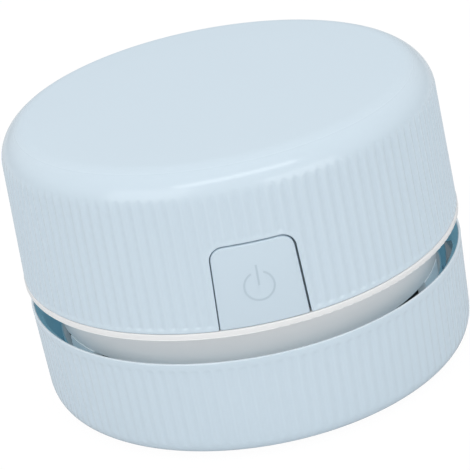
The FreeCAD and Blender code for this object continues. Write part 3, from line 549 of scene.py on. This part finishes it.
def makeDustCup():
    s = dustCup
    bm = spinProfile(cupProfile(), ribs["count"] * ribs["stepsPerRib"])
    ribTop = cupHigh.z - s["plainBand"]
    floorTop = cupLow.z + s["floor"]
    for vert in bm.verts:
        radius = math.hypot(vert.co.x, vert.co.y)
        height = vert.co.z
        face = cupOuterRadius(height)
        # the rim lies a hair lower at the right of the button, as in the photo
        rise = min(max((height - floorTop) / (cupHigh.z - floorTop), 0), 1)
        vert.co.z -= rise * (s["rimDrop"] + s["rimSlant"] * vert.co.x)
        if radius < face - s["baseRoundWidth"] * s["skinShare"]:
            continue
        fade = smoothStep(ribTop - s["ribFade"], ribTop + s["fadeOver"], height)
        depth = ribs["cupDepth"] * (1 - fade)
        if depth > 0:
            pressRib(vert, radius, face, depth)
    piece = finishPiece(bm, "dustCup", "base", ["dust_cup"])
    cutWith(piece, footCutter())
    forms = bmesh.new()
    innerR = cupRadius - s["wall"]
    sunk = s["sunk"]
    for azimuth in s["bossAzimuths"]:
        screwPost(forms, azimuth, s["bossPitch"], s["bossRadius"], s["bossHole"],
                  floorTop - sunk, floorTop + s["bossHeight"])
    hookLow = sealHigh.z + s["lugHeight"] + s["hookGap"]
    for azimuth in s["lugAzimuths"]:
        locked = azimuth + s["lockTurn"]
        stop = locked + s["lugWidth"] / 2 + s["stopGap"] + s["stopWidth"] / 2
        hookStart = locked - s["lugWidth"] / 2
        hookEnd = stop + s["stopWidth"] / 2
        sectorBlock(forms, s["hookInner"], innerR + sunk, hookLow, hookLow + s["hookHeight"],
                    (hookStart + hookEnd) / 2, hookEnd - hookStart)
        sectorBlock(forms, s["hookInner"], innerR + sunk, sealLow.z, hookLow + sunk,
                    stop, s["stopWidth"])
    joinPiece(piece, forms)
    sharpenByAngle(piece, s["crease"])
    return piece


# Power button

powerButton = {
    "columns": 40,
    "flangeColumns": 16,
    "frontDepth": 0.01 * mm,
    "edgeRound": 0.35 * mm,
    "edgeSteps": 4,
    "panelDepth": 3.0 * mm,
    "shift": -0.08 * mm,
    "signX": 0.03 * mm,
    "signAxisZ": 33.46 * mm,
    "signRadius": 2.62 * mm,
    "signLine": 0.34 * mm,
    "signHeight": 0.03 * mm,
    "signGapDegrees": 24.0,
    "signSteps": 60,
    "signReach": 3.0 * mm,
    "signStrip": 0.3 * mm,
    "strokeTop": 37.38 * mm,
    "strokeLow": 33.6 * mm,
    "flangeGap": 0.3 * mm,
    "flangeWall": 0.9 * mm,
    "flangeMargin": 1.0 * mm,
    "stemRadius": 2.2 * mm,
    "stemSides": 32,
    "crease": 40,
}


def wrapToShell(bm):
    # y of each vertex is read as its depth below the drafted side
    for vert in bm.verts:
        radius = shellOuterRadius(vert.co.z) - vert.co.y
        vert.co.y = -math.sqrt(radius * radius - vert.co.x * vert.co.x)


def gridded(bm, low, high, step):
    # cuts the flat piece into upright strips so that it can bend
    count = max(2, round((high - low) / step))
    for index in range(1, count):
        x = low + (high - low) * index / count
        geom = bm.verts[:] + bm.edges[:] + bm.faces[:]
        bmesh.ops.bisect_plane(bm, geom=geom, dist=cutTolerance, plane_co=(x, 0, 0),
                               plane_no=(1, 0, 0))


def makePowerButton():
    s = powerButton
    half = topShell["buttonHalfLow"]
    outline = [(x + s["shift"], z) for x, z in buttonOutline(0, 1)]
    bm = newPlate(outline, 0, s["panelDepth"])
    front = [edge for edge in bm.edges if all(vert.co.y < s["frontDepth"] for vert in edge.verts)]
    bmesh.ops.bevel(bm, geom=front, offset=s["edgeRound"], segments=s["edgeSteps"],
                    profile=0.5, affect="EDGES", material=-1)
    gridded(bm, -half, half, 2 * half / s["columns"])
    wrapToShell(bm)
    flangeDepth = topShell["wall"] + s["flangeGap"]
    flange = newPlate(buttonOutline(s["flangeMargin"], 1), flangeDepth,
                      flangeDepth + s["flangeWall"])
    wide = half + s["flangeMargin"]
    gridded(flange, -wide, wide, 2 * wide / s["flangeColumns"])
    wrapToShell(flange)
    piece = finishPiece(bm, "powerButton", "button", ["power_button"])
    cutWith(piece, finishPiece(flange, "flange"), "UNION")
    plungerLow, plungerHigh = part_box("switch_plunger")
    axisZ = (plungerLow.z + plungerHigh.z) / 2
    stemBack = plungerLow.y
    stemFront = -shellOuterRadius(axisZ) + topShell["wall"]
    stem = bmesh.new()
    place = Matrix.Translation((0, (stemBack + stemFront) / 2, axisZ))
    bmesh.ops.create_cone(stem, cap_ends=True, segments=s["stemSides"], radius1=s["stemRadius"],
                          radius2=s["stemRadius"], depth=stemBack - stemFront,
                          matrix=place @ Matrix.Rotation(math.pi / 2, 4, "X"))
    cutWith(piece, finishPiece(stem, "stem"), "UNION")
    sharpenByAngle(piece, s["crease"])
    return piece


def makePowerSign():
    # faint raised ring with a stroke at its top
    s = powerButton
    halfLine = s["signLine"] / 2
    signX = s["signX"]
    start = 90 + s["signGapDegrees"]
    end = 450 - s["signGapDegrees"]
    steps = s["signSteps"]
    outer = arcPoints(signX, s["signAxisZ"], s["signRadius"] + halfLine, start, end, steps)
    inner = arcPoints(signX, s["signAxisZ"], s["signRadius"] - halfLine, end, start, steps)
    bm = newPlate(outer + inner, -s["signHeight"], s["signHeight"])
    gridded(bm, -s["signReach"], s["signReach"], s["signStrip"])
    addPlate(bm, [(signX - halfLine, s["strokeLow"]), (signX + halfLine, s["strokeLow"]),
                  (signX + halfLine, s["strokeTop"]), (signX - halfLine, s["strokeTop"])],
             -s["signHeight"], s["signHeight"])
    wrapToShell(bm)
    return finishPiece(bm, "powerSign", "button", smooth=False)


# Bristles

bristles = {"tufts": 26, "pitch": 12.5 * mm, "perTuft": 37, "spread": 0.72 * mm,
            "tipSpread": 0.95 * mm, "radius": 0.075 * mm, "tipShare": 0.6, "sides": 5,
            "tuftTurn": 7, "trim": 0.12 * mm, "trimPerRod": 2.4, "trimPerTuft": 1.7}


def makeBristles():
    # each tuft is a bundle of thin rods that fan out a little towards the desk
    s = bristles
    tuftLow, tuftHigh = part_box("bristle_tufts")
    golden = math.pi * (3 - math.sqrt(5))
    bm = bmesh.new()
    for tuft in range(s["tufts"]):
        azimuth = fullTurn * tuft / s["tufts"]
        centre = Vector((s["pitch"] * math.sin(azimuth), -s["pitch"] * math.cos(azimuth), 0))
        for rod in range(s["perTuft"]):
            share = math.sqrt((rod + 0.5) / s["perTuft"])
            around = rod * golden + azimuth * s["tuftTurn"]
            out = Vector((math.cos(around), math.sin(around), 0)) * share
            wave = math.sin(rod * s["trimPerRod"] + tuft * s["trimPerTuft"])
            trim = s["trim"] * (0.5 + 0.5 * wave)
            root = centre + out * (s["spread"] - s["radius"]) + Vector((0, 0, tuftHigh.z))
            tip = centre + out * (s["tipSpread"] - s["radius"]) + Vector((0, 0, tuftLow.z + trim))
            rings = []
            for place, radius in ((root, s["radius"]), (tip, s["radius"] * s["tipShare"])):
                corners = []
                for side in range(s["sides"]):
                    angle = fullTurn * side / s["sides"]
                    offset = Vector((math.cos(angle), math.sin(angle), 0)) * radius
                    corners.append(bm.verts.new(place + offset))
                rings.append(corners)
            for side in range(s["sides"]):
                after = (side + 1) % s["sides"]
                bm.faces.new((rings[0][side], rings[0][after], rings[1][after], rings[1][side]))
            bm.faces.new(rings[0])
            bm.faces.new(rings[1])
    return finishPiece(bm, "bristles", "base", ["bristle_tufts"])


# Smooth copies of the other nodes

copyCrease = 32


def smoothCopy(name):
    # the node's triangles joined into one surface, smooth but for its creases
    bm = bmesh.new()
    bm.from_mesh(nodes[name].data)
    words = name.split("_")
    title = words[0] + "".join(word.capitalize() for word in words[1:]) + "Smooth"
    piece = finishPiece(bm, title, nodes[name]["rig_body"], [name])
    sharpenByAngle(piece, copyCrease)
    return piece


# Materials

def srgb(r, g, b):
    def linear(value):
        share = value / 255
        return share / 12.92 if share <= 0.04045 else ((share + 0.055) / 1.055) ** 2.4
    return (linear(r), linear(g), linear(b), 1.0)


def newGroup(name, inputs, outputs):
    group = bpy.data.node_groups.new(name, "ShaderNodeTree")
    for socketName, default, low, high in inputs:
        socket = group.interface.new_socket(name=socketName, in_out="INPUT",
                                            socket_type="NodeSocketFloat")
        socket.default_value = default
        socket.min_value = low
        socket.max_value = high
    group.interface.new_socket(name="Vector", in_out="INPUT", socket_type="NodeSocketVector")
    for socketName in outputs:
        group.interface.new_socket(name=socketName, in_out="OUTPUT", socket_type="NodeSocketFloat")
    return group


def addNode(tree, kind, x, y, **values):
    node = tree.nodes.new(kind)
    node.location = (x, y)
    for key, value in values.items():
        setattr(node, key, value)
    return node


def makeMouldedGroup():
    # fine tool texture and slow flow marks of a moulded surface
    group = newGroup("mouldedSurface", [
        ("Grain Scale", 3000.0, 1.0, 100000.0), ("Flow Scale", 60.0, 1.0, 5000.0),
        ("Grain", 1.0, 0.0, 1.0), ("Flow", 0.0, 0.0, 1.0)], ["Height", "Mask"])
    entry = addNode(group, "NodeGroupInput", -800, 0)
    grain = addNode(group, "ShaderNodeTexNoise", -500, 150)
    grain.inputs["Detail"].default_value = 3.0
    flow = addNode(group, "ShaderNodeTexNoise", -500, -150)
    flow.inputs["Detail"].default_value = 2.0
    grainPart = addNode(group, "ShaderNodeMath", -250, 150, operation="MULTIPLY")
    flowPart = addNode(group, "ShaderNodeMath", -250, -150, operation="MULTIPLY")
    total = addNode(group, "ShaderNodeMath", -50, 0, operation="ADD")
    leave = addNode(group, "NodeGroupOutput", 200, 0)
    link = group.links.new
    link(entry.outputs["Vector"], grain.inputs["Vector"])
    link(entry.outputs["Vector"], flow.inputs["Vector"])
    link(entry.outputs["Grain Scale"], grain.inputs["Scale"])
    link(entry.outputs["Flow Scale"], flow.inputs["Scale"])
    link(grain.outputs["Fac"], grainPart.inputs[0])
    link(entry.outputs["Grain"], grainPart.inputs[1])
    link(flow.outputs["Fac"], flowPart.inputs[0])
    link(entry.outputs["Flow"], flowPart.inputs[1])
    link(grainPart.outputs[0], total.inputs[0])
    link(flowPart.outputs[0], total.inputs[1])
    link(total.outputs[0], leave.inputs["Height"])
    link(flow.outputs["Fac"], leave.inputs["Mask"])
    return group


def makeZoneGroup():
    # 1 where a point lies between two radii about the axis and between two heights
    group = newGroup("zoneMask", [
        ("Radius Low", 0.0, 0.0, 1.0), ("Radius High", 1.0, 0.0, 1.0),
        ("Height Low", 0.0, 0.0, 1.0), ("Height High", 1.0, 0.0, 1.0)], ["Mask"])
    entry = addNode(group, "NodeGroupInput", -900, 0)
    split = addNode(group, "ShaderNodeSeparateXYZ", -700, 0)
    flat = addNode(group, "ShaderNodeCombineXYZ", -500, 200)
    radius = addNode(group, "ShaderNodeVectorMath", -300, 200, operation="LENGTH")
    leave = addNode(group, "NodeGroupOutput", 700, 0)
    link = group.links.new
    link(entry.outputs["Vector"], split.inputs[0])
    link(split.outputs["X"], flat.inputs["X"])
    link(split.outputs["Y"], flat.inputs["Y"])
    link(flat.outputs[0], radius.inputs[0])
    tests = []
    for value, word in ((radius.outputs["Value"], "Radius"), (split.outputs["Z"], "Height")):
        for end, operation in ((" Low", "GREATER_THAN"), (" High", "LESS_THAN")):
            place = 300 - 160 * len(tests)
            test = addNode(group, "ShaderNodeMath", -100, place, operation=operation)
            link(value, test.inputs[0])
            link(entry.outputs[word + end], test.inputs[1])
            tests.append(test)
    product = tests[0]
    for index, test in enumerate(tests[1:]):
        both = addNode(group, "ShaderNodeMath", 100 + 200 * index, 100, operation="MULTIPLY")
        link(product.outputs[0], both.inputs[0])
        link(test.outputs[0], both.inputs[1])
        product = both
    link(product.outputs[0], leave.inputs["Mask"])
    return group


mouldedGroup = makeMouldedGroup()
zoneGroup = makeZoneGroup()


def makeMaterial(name, look):
    # colour and roughness drift a little with the flow marks; the grain goes to the bump
    material = bpy.data.materials.new(name)
    material.use_nodes = True
    tree = material.node_tree
    shader = tree.nodes["Principled BSDF"]
    link = tree.links.new
    coords = addNode(tree, "ShaderNodeTexCoord", -1100, 0)
    moulded = addNode(tree, "ShaderNodeGroup", -800, 0, node_tree=mouldedGroup)
    for key in ("Grain Scale", "Flow Scale", "Grain", "Flow"):
        moulded.inputs[key].default_value = look.get(key, moulded.inputs[key].default_value)
    stretch = addNode(tree, "ShaderNodeMapping", -950, 0)
    stretch.inputs["Scale"].default_value = look.get("stretch", (1, 1, 1))
    link(coords.outputs["Object"], stretch.inputs["Vector"])
    link(stretch.outputs["Vector"], moulded.inputs["Vector"])
    colour = addNode(tree, "ShaderNodeMix", -400, 250, data_type="RGBA")
    first, second = look["colours"]
    colour.inputs["A"].default_value = first
    colour.inputs["B"].default_value = second
    link(moulded.outputs["Mask"], colour.inputs["Factor"])
    paint = colour.outputs["Result"]
    glow = None
    # each zone lays painted shade, painted glow or a painted highlight over the colour
    for index, part in enumerate(look.get("zones", ())):
        mask = addNode(tree, "ShaderNodeGroup", -800, 400 + 250 * index, node_tree=zoneGroup)
        for word in ("Radius", "Height"):
            low, high = part[word]
            mask.inputs[word + " Low"].default_value = low
            mask.inputs[word + " High"].default_value = high
        link(coords.outputs["Object"], mask.inputs["Vector"])
        over = addNode(tree, "ShaderNodeMix", -100, 400 + 250 * index, data_type="RGBA")
        over.inputs["B"].default_value = part["colour"]
        link(mask.outputs["Mask"], over.inputs["Factor"])
        link(paint, over.inputs["A"])
        paint = over.outputs["Result"]
        shine = addNode(tree, "ShaderNodeMix", 100, 400 + 250 * index, data_type="RGBA")
        shine.inputs["A"].default_value = look.get("glow", (0, 0, 0, 1))
        shine.inputs["B"].default_value = part.get("glow", (0, 0, 0, 1))
        link(mask.outputs["Mask"], shine.inputs["Factor"])
        if glow:
            link(glow, shine.inputs["A"])
        glow = shine.outputs["Result"]
    link(paint, shader.inputs["Base Color"])
    if glow:
        link(glow, shader.inputs["Emission Color"])
        shader.inputs["Emission Strength"].default_value = 1.0
    rough = addNode(tree, "ShaderNodeMapRange", -400, 0)
    low, high = look["roughness"]
    rough.inputs["To Min"].default_value = low
    rough.inputs["To Max"].default_value = high
    link(moulded.outputs["Mask"], rough.inputs["Value"])
    finish = rough.outputs["Result"]
    if "crown" in look:
        # the flat top is a little more matt than the rounded edge
        crownLow, crownHigh, extra = look["crown"]
        split = addNode(tree, "ShaderNodeSeparateXYZ", -800, -400)
        crown = addNode(tree, "ShaderNodeMapRange", -600, -400)
        crown.inputs["From Min"].default_value = crownLow
        crown.inputs["From Max"].default_value = crownHigh
        crown.inputs["To Max"].default_value = extra
        total = addNode(tree, "ShaderNodeMath", -200, -100, operation="ADD")
        link(coords.outputs["Object"], split.inputs[0])
        link(split.outputs["Z"], crown.inputs["Value"])
        link(finish, total.inputs[0])
        link(crown.outputs["Result"], total.inputs[1])
        finish = total.outputs[0]
    link(finish, shader.inputs["Roughness"])
    bump = addNode(tree, "ShaderNodeBump", -400, -250)
    bump.inputs["Strength"].default_value = look.get("bump", 0.1)
    bump.inputs["Distance"].default_value = look.get("bumpDepth", 0.02 * mm)
    link(moulded.outputs["Height"], bump.inputs["Height"])
    link(bump.outputs["Normal"], shader.inputs["Normal"])
    for key, value in look.get("shader", {}).items():
        shader.inputs[key].default_value = value
    return material


def plastic(first, second, low, high, **more):
    return {"colours": (srgb(*first), srgb(*second)), "roughness": (low, high), **more}


def paintedGlow(r, g, b, strength):
    # painted glow: emission that stands in for light in the gap and inside the cup; no lamp gives
    # it
    return tuple(channel * strength for channel in srgb(r, g, b)[:3]) + (1.0,)


def zone(paint, radius=(0, 1), height=(0, 1)):
    # painted shade, glow or highlight for what lies between two radii about the axis and between
    # two heights
    return {"Radius": radius, "Height": height, **paint}


# painted shade and painted glow: the teal colour and emission of the cup's inner wall stand in for
# its shade and bounced light
insideShadeAndGlow = {"colour": srgb(112, 146, 162), "glow": paintedGlow(118, 176, 200, 0.22)}
# painted shade and painted glow on the rims of the bowl and of the fan floor seen in the gap
rimShadeAndGlow = {"colour": srgb(72, 105, 120), "glow": paintedGlow(118, 176, 200, 0.3)}
# painted shadow: near black on the inner faces of the drum and the fan floor, where only shade
# falls
deepShadePaint = {"colour": srgb(12, 16, 20)}
# painted shade with a faint painted glow on the hooks inside the cup
hookShadeAndGlow = {"colour": srgb(30, 58, 72), "glow": paintedGlow(118, 176, 200, 0.1)}
# painted shade and painted glow on the fan floor round the posts
postFloorShadeAndGlow = {"colour": srgb(178, 194, 202), "glow": paintedGlow(200, 225, 240, 0.07)}
# painted glow on the posts' outer faces, to light them like the drum
postSideGlow = {"colour": srgb(225, 232, 235), "glow": paintedGlow(228, 240, 248, 0.13)}
# painted highlight: a pale band along the inner edge of the cup's lip
lipHighlight = {"colour": srgb(228, 239, 246)}
# painted highlight with painted glow along the lower outer edge of the ring
ringEdgeHighlight = {"colour": srgb(252, 252, 251), "glow": paintedGlow(255, 255, 255, 0.08)}

# radii and heights at which the painted shade, glow and highlights begin and end on what shows in
# the gap
gap = {
    "wallOuter": cupRadius - 0.55 * mm,
    "wallLow": 5.0 * mm,
    "hookOuter": cupRadius - 1.75 * mm,
    "hookLow": 10.0 * mm,
    "lipInner": cupRadius - 0.5 * mm,
    "lipOuter": cupRadius - 0.07 * mm,
    "lipLow": cupHigh.z - 0.8 * mm,
    "bowlRim": 36.9 * mm,
    "drumDark": 36.0 * mm,
    "floorDark": 36.2 * mm,
    "floorRim": 37.15 * mm,
    "floorLow": sealHigh.z + 1.3 * mm,
    "postInner": 35.3 * mm,
    "postLow": sealHigh.z + 1.6 * mm,
    "ringEdge": 41.8 * mm,
    "ringTop": 25.2 * mm,
}
# from this height to that one, the roughness of the crown grows by the third value
mattCrown = (shellHigh.z - 1.0 * mm, shellHigh.z - 0.05 * mm, 0.4)
gloss = {"Specular IOR Level": 0.65}
metal = {"Metallic": 1.0}

looks = {
    "blue_shell": plastic((209, 224, 234), (210, 225, 235), 0.1, 0.12, bump=0.03,
                          crown=mattCrown, shader=gloss),
    # inside the cup: painted shade and glow on the wall and hooks, a painted highlight along the
    # lip
    "blue_cup": plastic((209, 224, 234), (210, 225, 235), 0.1, 0.12, bump=0.03, shader=gloss,
                        zones=[zone(insideShadeAndGlow, (0, gap["wallOuter"]), (gap["wallLow"], 1)),
                               zone(hookShadeAndGlow, (0, gap["hookOuter"]), (gap["hookLow"], 1)),
                               zone(lipHighlight, (gap["lipInner"], gap["lipOuter"]),
                                    (gap["lipLow"], 1))]),
    "blue_button": plastic((207, 222, 232), (208, 223, 233), 0.18, 0.21, bump=0.04),
    "blue_sign": plastic((189, 205, 215), (191, 207, 217), 0.4, 0.45, bump=0.04),
    # the bowl's rim gets painted shade and glow
    "blue_bowl": plastic((209, 224, 234), (210, 225, 235), 0.2, 0.25, bump=0.03,
                         zones=[zone(rimShadeAndGlow, (gap["bowlRim"], 1))]),
    # painted glow lightens the drum in the gap; its inner faces get the painted shadow
    "drum_outside": plastic((241, 238, 236), (243, 240, 238), 0.22, 0.26, bump=0.04,
                            glow=paintedGlow(235, 238, 242, 0.09),
                            zones=[zone(deepShadePaint, (0, gap["drumDark"]))]),
    # fan floor: painted shadow inside, painted shade and glow on its rim and round its posts
    "fan_floor": plastic((236, 236, 236), (238, 238, 238), 0.3, 0.34, bump=0.04,
                         zones=[zone(deepShadePaint, (0, gap["floorDark"]), (gap["floorLow"], 1)),
                                zone(rimShadeAndGlow, (gap["floorRim"], 1)),
                                zone(postFloorShadeAndGlow, (gap["floorDark"], gap["floorRim"]),
                                     (gap["floorLow"], 1)),
                                zone(postSideGlow, (gap["postInner"], gap["floorRim"]),
                                     (gap["postLow"], 1))]),
    # painted highlight along the ring's lower edge
    "frame_ring": plastic((240, 239, 238), (242, 241, 240), 0.2, 0.24, bump=0.04,
                          zones=[zone(ringEdgeHighlight, (gap["ringEdge"], 1), (0, gap["ringTop"]))]),
    "drum_plastic": plastic((240, 239, 238), (242, 241, 240), 0.2, 0.24, bump=0.04),
    "white_plastic": plastic((224, 225, 225), (228, 228, 228), 0.36, 0.42, bump=0.06),
    "foot_rubber": plastic((150, 156, 160), (160, 166, 170), 0.7, 0.85, bump=0.3),
    "black_plastic": plastic((24, 25, 27), (32, 33, 35), 0.45, 0.6, bump=0.1),
    "bristle_nylon": plastic((28, 29, 31), (40, 41, 44), 0.4, 0.6, bump=0.2,
                             stretch=(4, 4, 0.3)),
    "screw_steel": plastic((176, 178, 180), (190, 191, 192), 0.25, 0.4, shader=metal),
    "seal_rubber": plastic((26, 27, 28), (36, 37, 38), 0.6, 0.75, bump=0.2),
    "filter_cloth": plastic((206, 206, 202), (226, 226, 222), 0.85, 0.95, bump=0.9,
                            bumpDepth=0.15 * mm),
    "motor_steel": plastic((160, 163, 165), (178, 180, 182), 0.3, 0.42, shader=metal),
    "contact_brass": plastic((190, 158, 92), (204, 172, 104), 0.25, 0.4, shader=metal),
    "cell_wrap": plastic((44, 108, 160), (50, 116, 168), 0.25, 0.32),
    "board_green": plastic((20, 84, 46), (28, 96, 54), 0.35, 0.45),
    "lens_clear": plastic((226, 230, 234), (236, 239, 242), 0.08, 0.12, bump=0.02),
    "lead_red": plastic((168, 30, 28), (180, 38, 34), 0.4, 0.5),
    "lead_black": plastic((22, 22, 24), (30, 30, 32), 0.4, 0.5),
}


def dressEverything():
    materials = {name: makeMaterial(name, look) for name, look in looks.items()}
    for name, node in nodes.items():
        node.data.materials.clear()
        node.data.materials.append(materials[slotOfNode[name]])
    for piece, look in newPieces:
        piece.data.materials.clear()
        piece.data.materials.append(materials[look])
    print("materials:", len(materials))


# Camera, lights and floor

studio = {
    "cameraPlace": (-12.165 * mm, -315.173 * mm, 167.585 * mm),
    "cameraTurn": -2.04,
    "elevation": 24.367,
    "roll": -10.921,
    "focalPixels": 1798.54,
    "imagePixels": 470,
    "sensorWidth": 36.0,
    "clipStart": 0.01,
    "clipEnd": 20,
    "floorSize": 6.0,
    "floorDrop": 0.02 * mm,
    "worldLow": 0.46,
    "worldHigh": 0.86,
    "worldRamp": 0.45,
    "floorGlow": 1.03,
    "floorGlowShare": 0.94,
    "aimHeight": 0.04,
    "lampDistance": 1.2,
}

softboxes = {
    "leftSoftbox": {"azimuth": -47, "elevation": 27, "width": 0.85, "height": 0.8,
                    "radiance": 0.88},
    "rightSoftbox": {"azimuth": 34, "elevation": 18, "width": 0.8, "height": 0.6,
                     "radiance": 1.05},
    "stripLight": {"azimuth": 1.3, "elevation": 59.7, "width": 1.1, "height": 0.24,
                   "radiance": 1.9, "turn": 8},
}


def makeCamera():
    s = studio
    elevation = math.radians(s["elevation"])
    roll = math.radians(s["roll"])
    forward = Vector((0, math.cos(elevation), -math.sin(elevation)))
    right = Vector((1, 0, 0))
    up = Vector((0, math.sin(elevation), math.cos(elevation)))
    axisX = math.cos(roll) * right + math.sin(roll) * up
    axisY = -math.sin(roll) * right + math.cos(roll) * up
    axisZ = -forward
    turn = Matrix.Rotation(math.radians(s["cameraTurn"]), 4, "Z")
    basis = Matrix((axisX, axisY, axisZ)).transposed().to_4x4()
    data = bpy.data.cameras.new("photoCamera")
    data.sensor_fit = "HORIZONTAL"
    data.sensor_width = s["sensorWidth"]
    data.lens = s["focalPixels"] / s["imagePixels"] * s["sensorWidth"]
    data.clip_start = s["clipStart"]
    data.clip_end = s["clipEnd"]
    camera = bpy.data.objects.new("photoCamera", data)
    camera.matrix_world = Matrix.Translation(s["cameraPlace"]) @ turn @ basis
    bpy.context.scene.collection.objects.link(camera)
    bpy.context.scene.camera = camera


def makeWorld():
    world = bpy.data.worlds.new("studioWorld")
    bpy.context.scene.world = world
    world.use_nodes = True
    tree = world.node_tree
    tree.nodes.clear()
    out = addNode(tree, "ShaderNodeOutputWorld", 600, 0)
    mix = addNode(tree, "ShaderNodeMixShader", 400, 0)
    path = addNode(tree, "ShaderNodeLightPath", -200, 300)
    seen = addNode(tree, "ShaderNodeMath", 100, 300, operation="ADD", use_clamp=True)
    coords = addNode(tree, "ShaderNodeTexCoord", -600, 0)
    split = addNode(tree, "ShaderNodeSeparateXYZ", -400, 0)
    height = addNode(tree, "ShaderNodeMapRange", -200, 0)
    height.inputs["From Max"].default_value = studio["worldRamp"]
    height.inputs["To Min"].default_value = studio["worldLow"]
    height.inputs["To Max"].default_value = studio["worldHigh"]
    lit = addNode(tree, "ShaderNodeBackground", 100, 0)
    lit.inputs["Color"].default_value = (0.97, 0.985, 1.0, 1)
    white = addNode(tree, "ShaderNodeBackground", 100, -200)
    white.inputs["Color"].default_value = (1, 1, 1, 1)
    link = tree.links.new
    link(coords.outputs["Generated"], split.inputs[0])
    link(split.outputs["Z"], height.inputs["Value"])
    link(height.outputs["Result"], lit.inputs["Strength"])
    link(path.outputs["Is Camera Ray"], seen.inputs[0])
    link(path.outputs["Is Transmission Ray"], seen.inputs[1])
    link(seen.outputs[0], mix.inputs["Fac"])
    link(lit.outputs[0], mix.inputs[1])
    link(white.outputs[0], mix.inputs[2])
    link(mix.outputs[0], out.inputs["Surface"])


def makeFloor():
    bm = bmesh.new()
    bmesh.ops.create_grid(bm, x_segments=1, y_segments=1, size=studio["floorSize"] / 2)
    mesh = bpy.data.meshes.new("studioFloor")
    bm.to_mesh(mesh)
    bm.free()
    floor = bpy.data.objects.new("studioFloor", mesh)
    floor.location.z = -studio["floorDrop"]
    bpy.context.scene.collection.objects.link(floor)
    material = bpy.data.materials.new("studioFloor")
    material.use_nodes = True
    tree = material.node_tree
    shader = tree.nodes["Principled BSDF"]
    shader.inputs["Base Color"].default_value = (0.72, 0.73, 0.74, 1)
    shader.inputs["Roughness"].default_value = 0.9
    shader.inputs["Specular IOR Level"].default_value = 0.1
    out = tree.nodes["Material Output"]
    path = addNode(tree, "ShaderNodeLightPath", -300, 500)
    seen = addNode(tree, "ShaderNodeMath", 0, 500, operation="MULTIPLY")
    seen.inputs[1].default_value = studio["floorGlowShare"]
    glow = addNode(tree, "ShaderNodeEmission", 0, 300)
    glow.inputs["Color"].default_value = (1, 1, 1, 1)
    glow.inputs["Strength"].default_value = studio["floorGlow"]
    mix = addNode(tree, "ShaderNodeMixShader", 300, 300)
    link = tree.links.new
    link(path.outputs["Is Camera Ray"], seen.inputs[0])
    link(seen.outputs[0], mix.inputs["Fac"])
    link(shader.outputs[0], mix.inputs[1])
    link(glow.outputs[0], mix.inputs[2])
    link(mix.outputs[0], out.inputs["Surface"])
    mesh.materials.append(material)


def direction(azimuth, elevation):
    # azimuth 0 is the button's side and grows towards +X
    a, e = math.radians(azimuth), math.radians(elevation)
    return Vector((math.sin(a) * math.cos(e), -math.cos(a) * math.cos(e), math.sin(e)))


def makeSoftbox(name, azimuth, elevation, width, height, radiance, turn=0.0):
    # a lamp that shows as a rectangle in the gloss; its power follows from the wanted radiance
    aimPoint = Vector((0, 0, studio["aimHeight"]))
    place = direction(azimuth, elevation) * studio["lampDistance"] + aimPoint
    data = bpy.data.lights.new(name, "AREA")
    data.shape = "RECTANGLE"
    data.size = width
    data.size_y = height
    data.energy = radiance * math.pi * width * height
    lamp = bpy.data.objects.new(name, data)
    lamp.location = place
    aim = (aimPoint - place).to_track_quat("-Z", "Y").to_matrix()
    lamp.rotation_euler = (aim @ Matrix.Rotation(math.radians(turn), 3, "Z")).to_euler()
    bpy.context.scene.collection.objects.link(lamp)


def makeStudio():
    makeCamera()
    makeWorld()
    makeFloor()
    for name, settings in softboxes.items():
        makeSoftbox(name, **settings)
    bpy.context.scene.view_settings.view_transform = "Standard"
    print("studio set")


makeStudio()
slotOfNode = {entry["node"]: entry["material_slot"] for entry in frame["record"]["subparts"]}
newPieces = [(makeTopShell(), "blue_shell")]
print("top shell made")
newPieces.append((makeDustCup(), "blue_cup"))
print("dust cup made")
newPieces.append((makePowerButton(), "blue_button"))
newPieces.append((makePowerSign(), "blue_sign"))
print("button made")
newPieces.append((makeBristles(), "bristle_nylon"))
print("bristles made")
ownPieces = ("top_shell", "dust_cup", "power_button", "bristle_tufts")
ownLooks = {"drum": "drum_outside", "fan_floor": "fan_floor", "bowl_ring": "blue_bowl",
            "mid_frame": "frame_ring"}
for nodeName in sorted(nodes):
    if nodeName not in ownPieces:
        slot = slotOfNode[nodeName]
        newPieces.append((smoothCopy(nodeName), ownLooks.get(nodeName, slot)))
print("smooth copies made:", len(newPieces))
dressEverything()
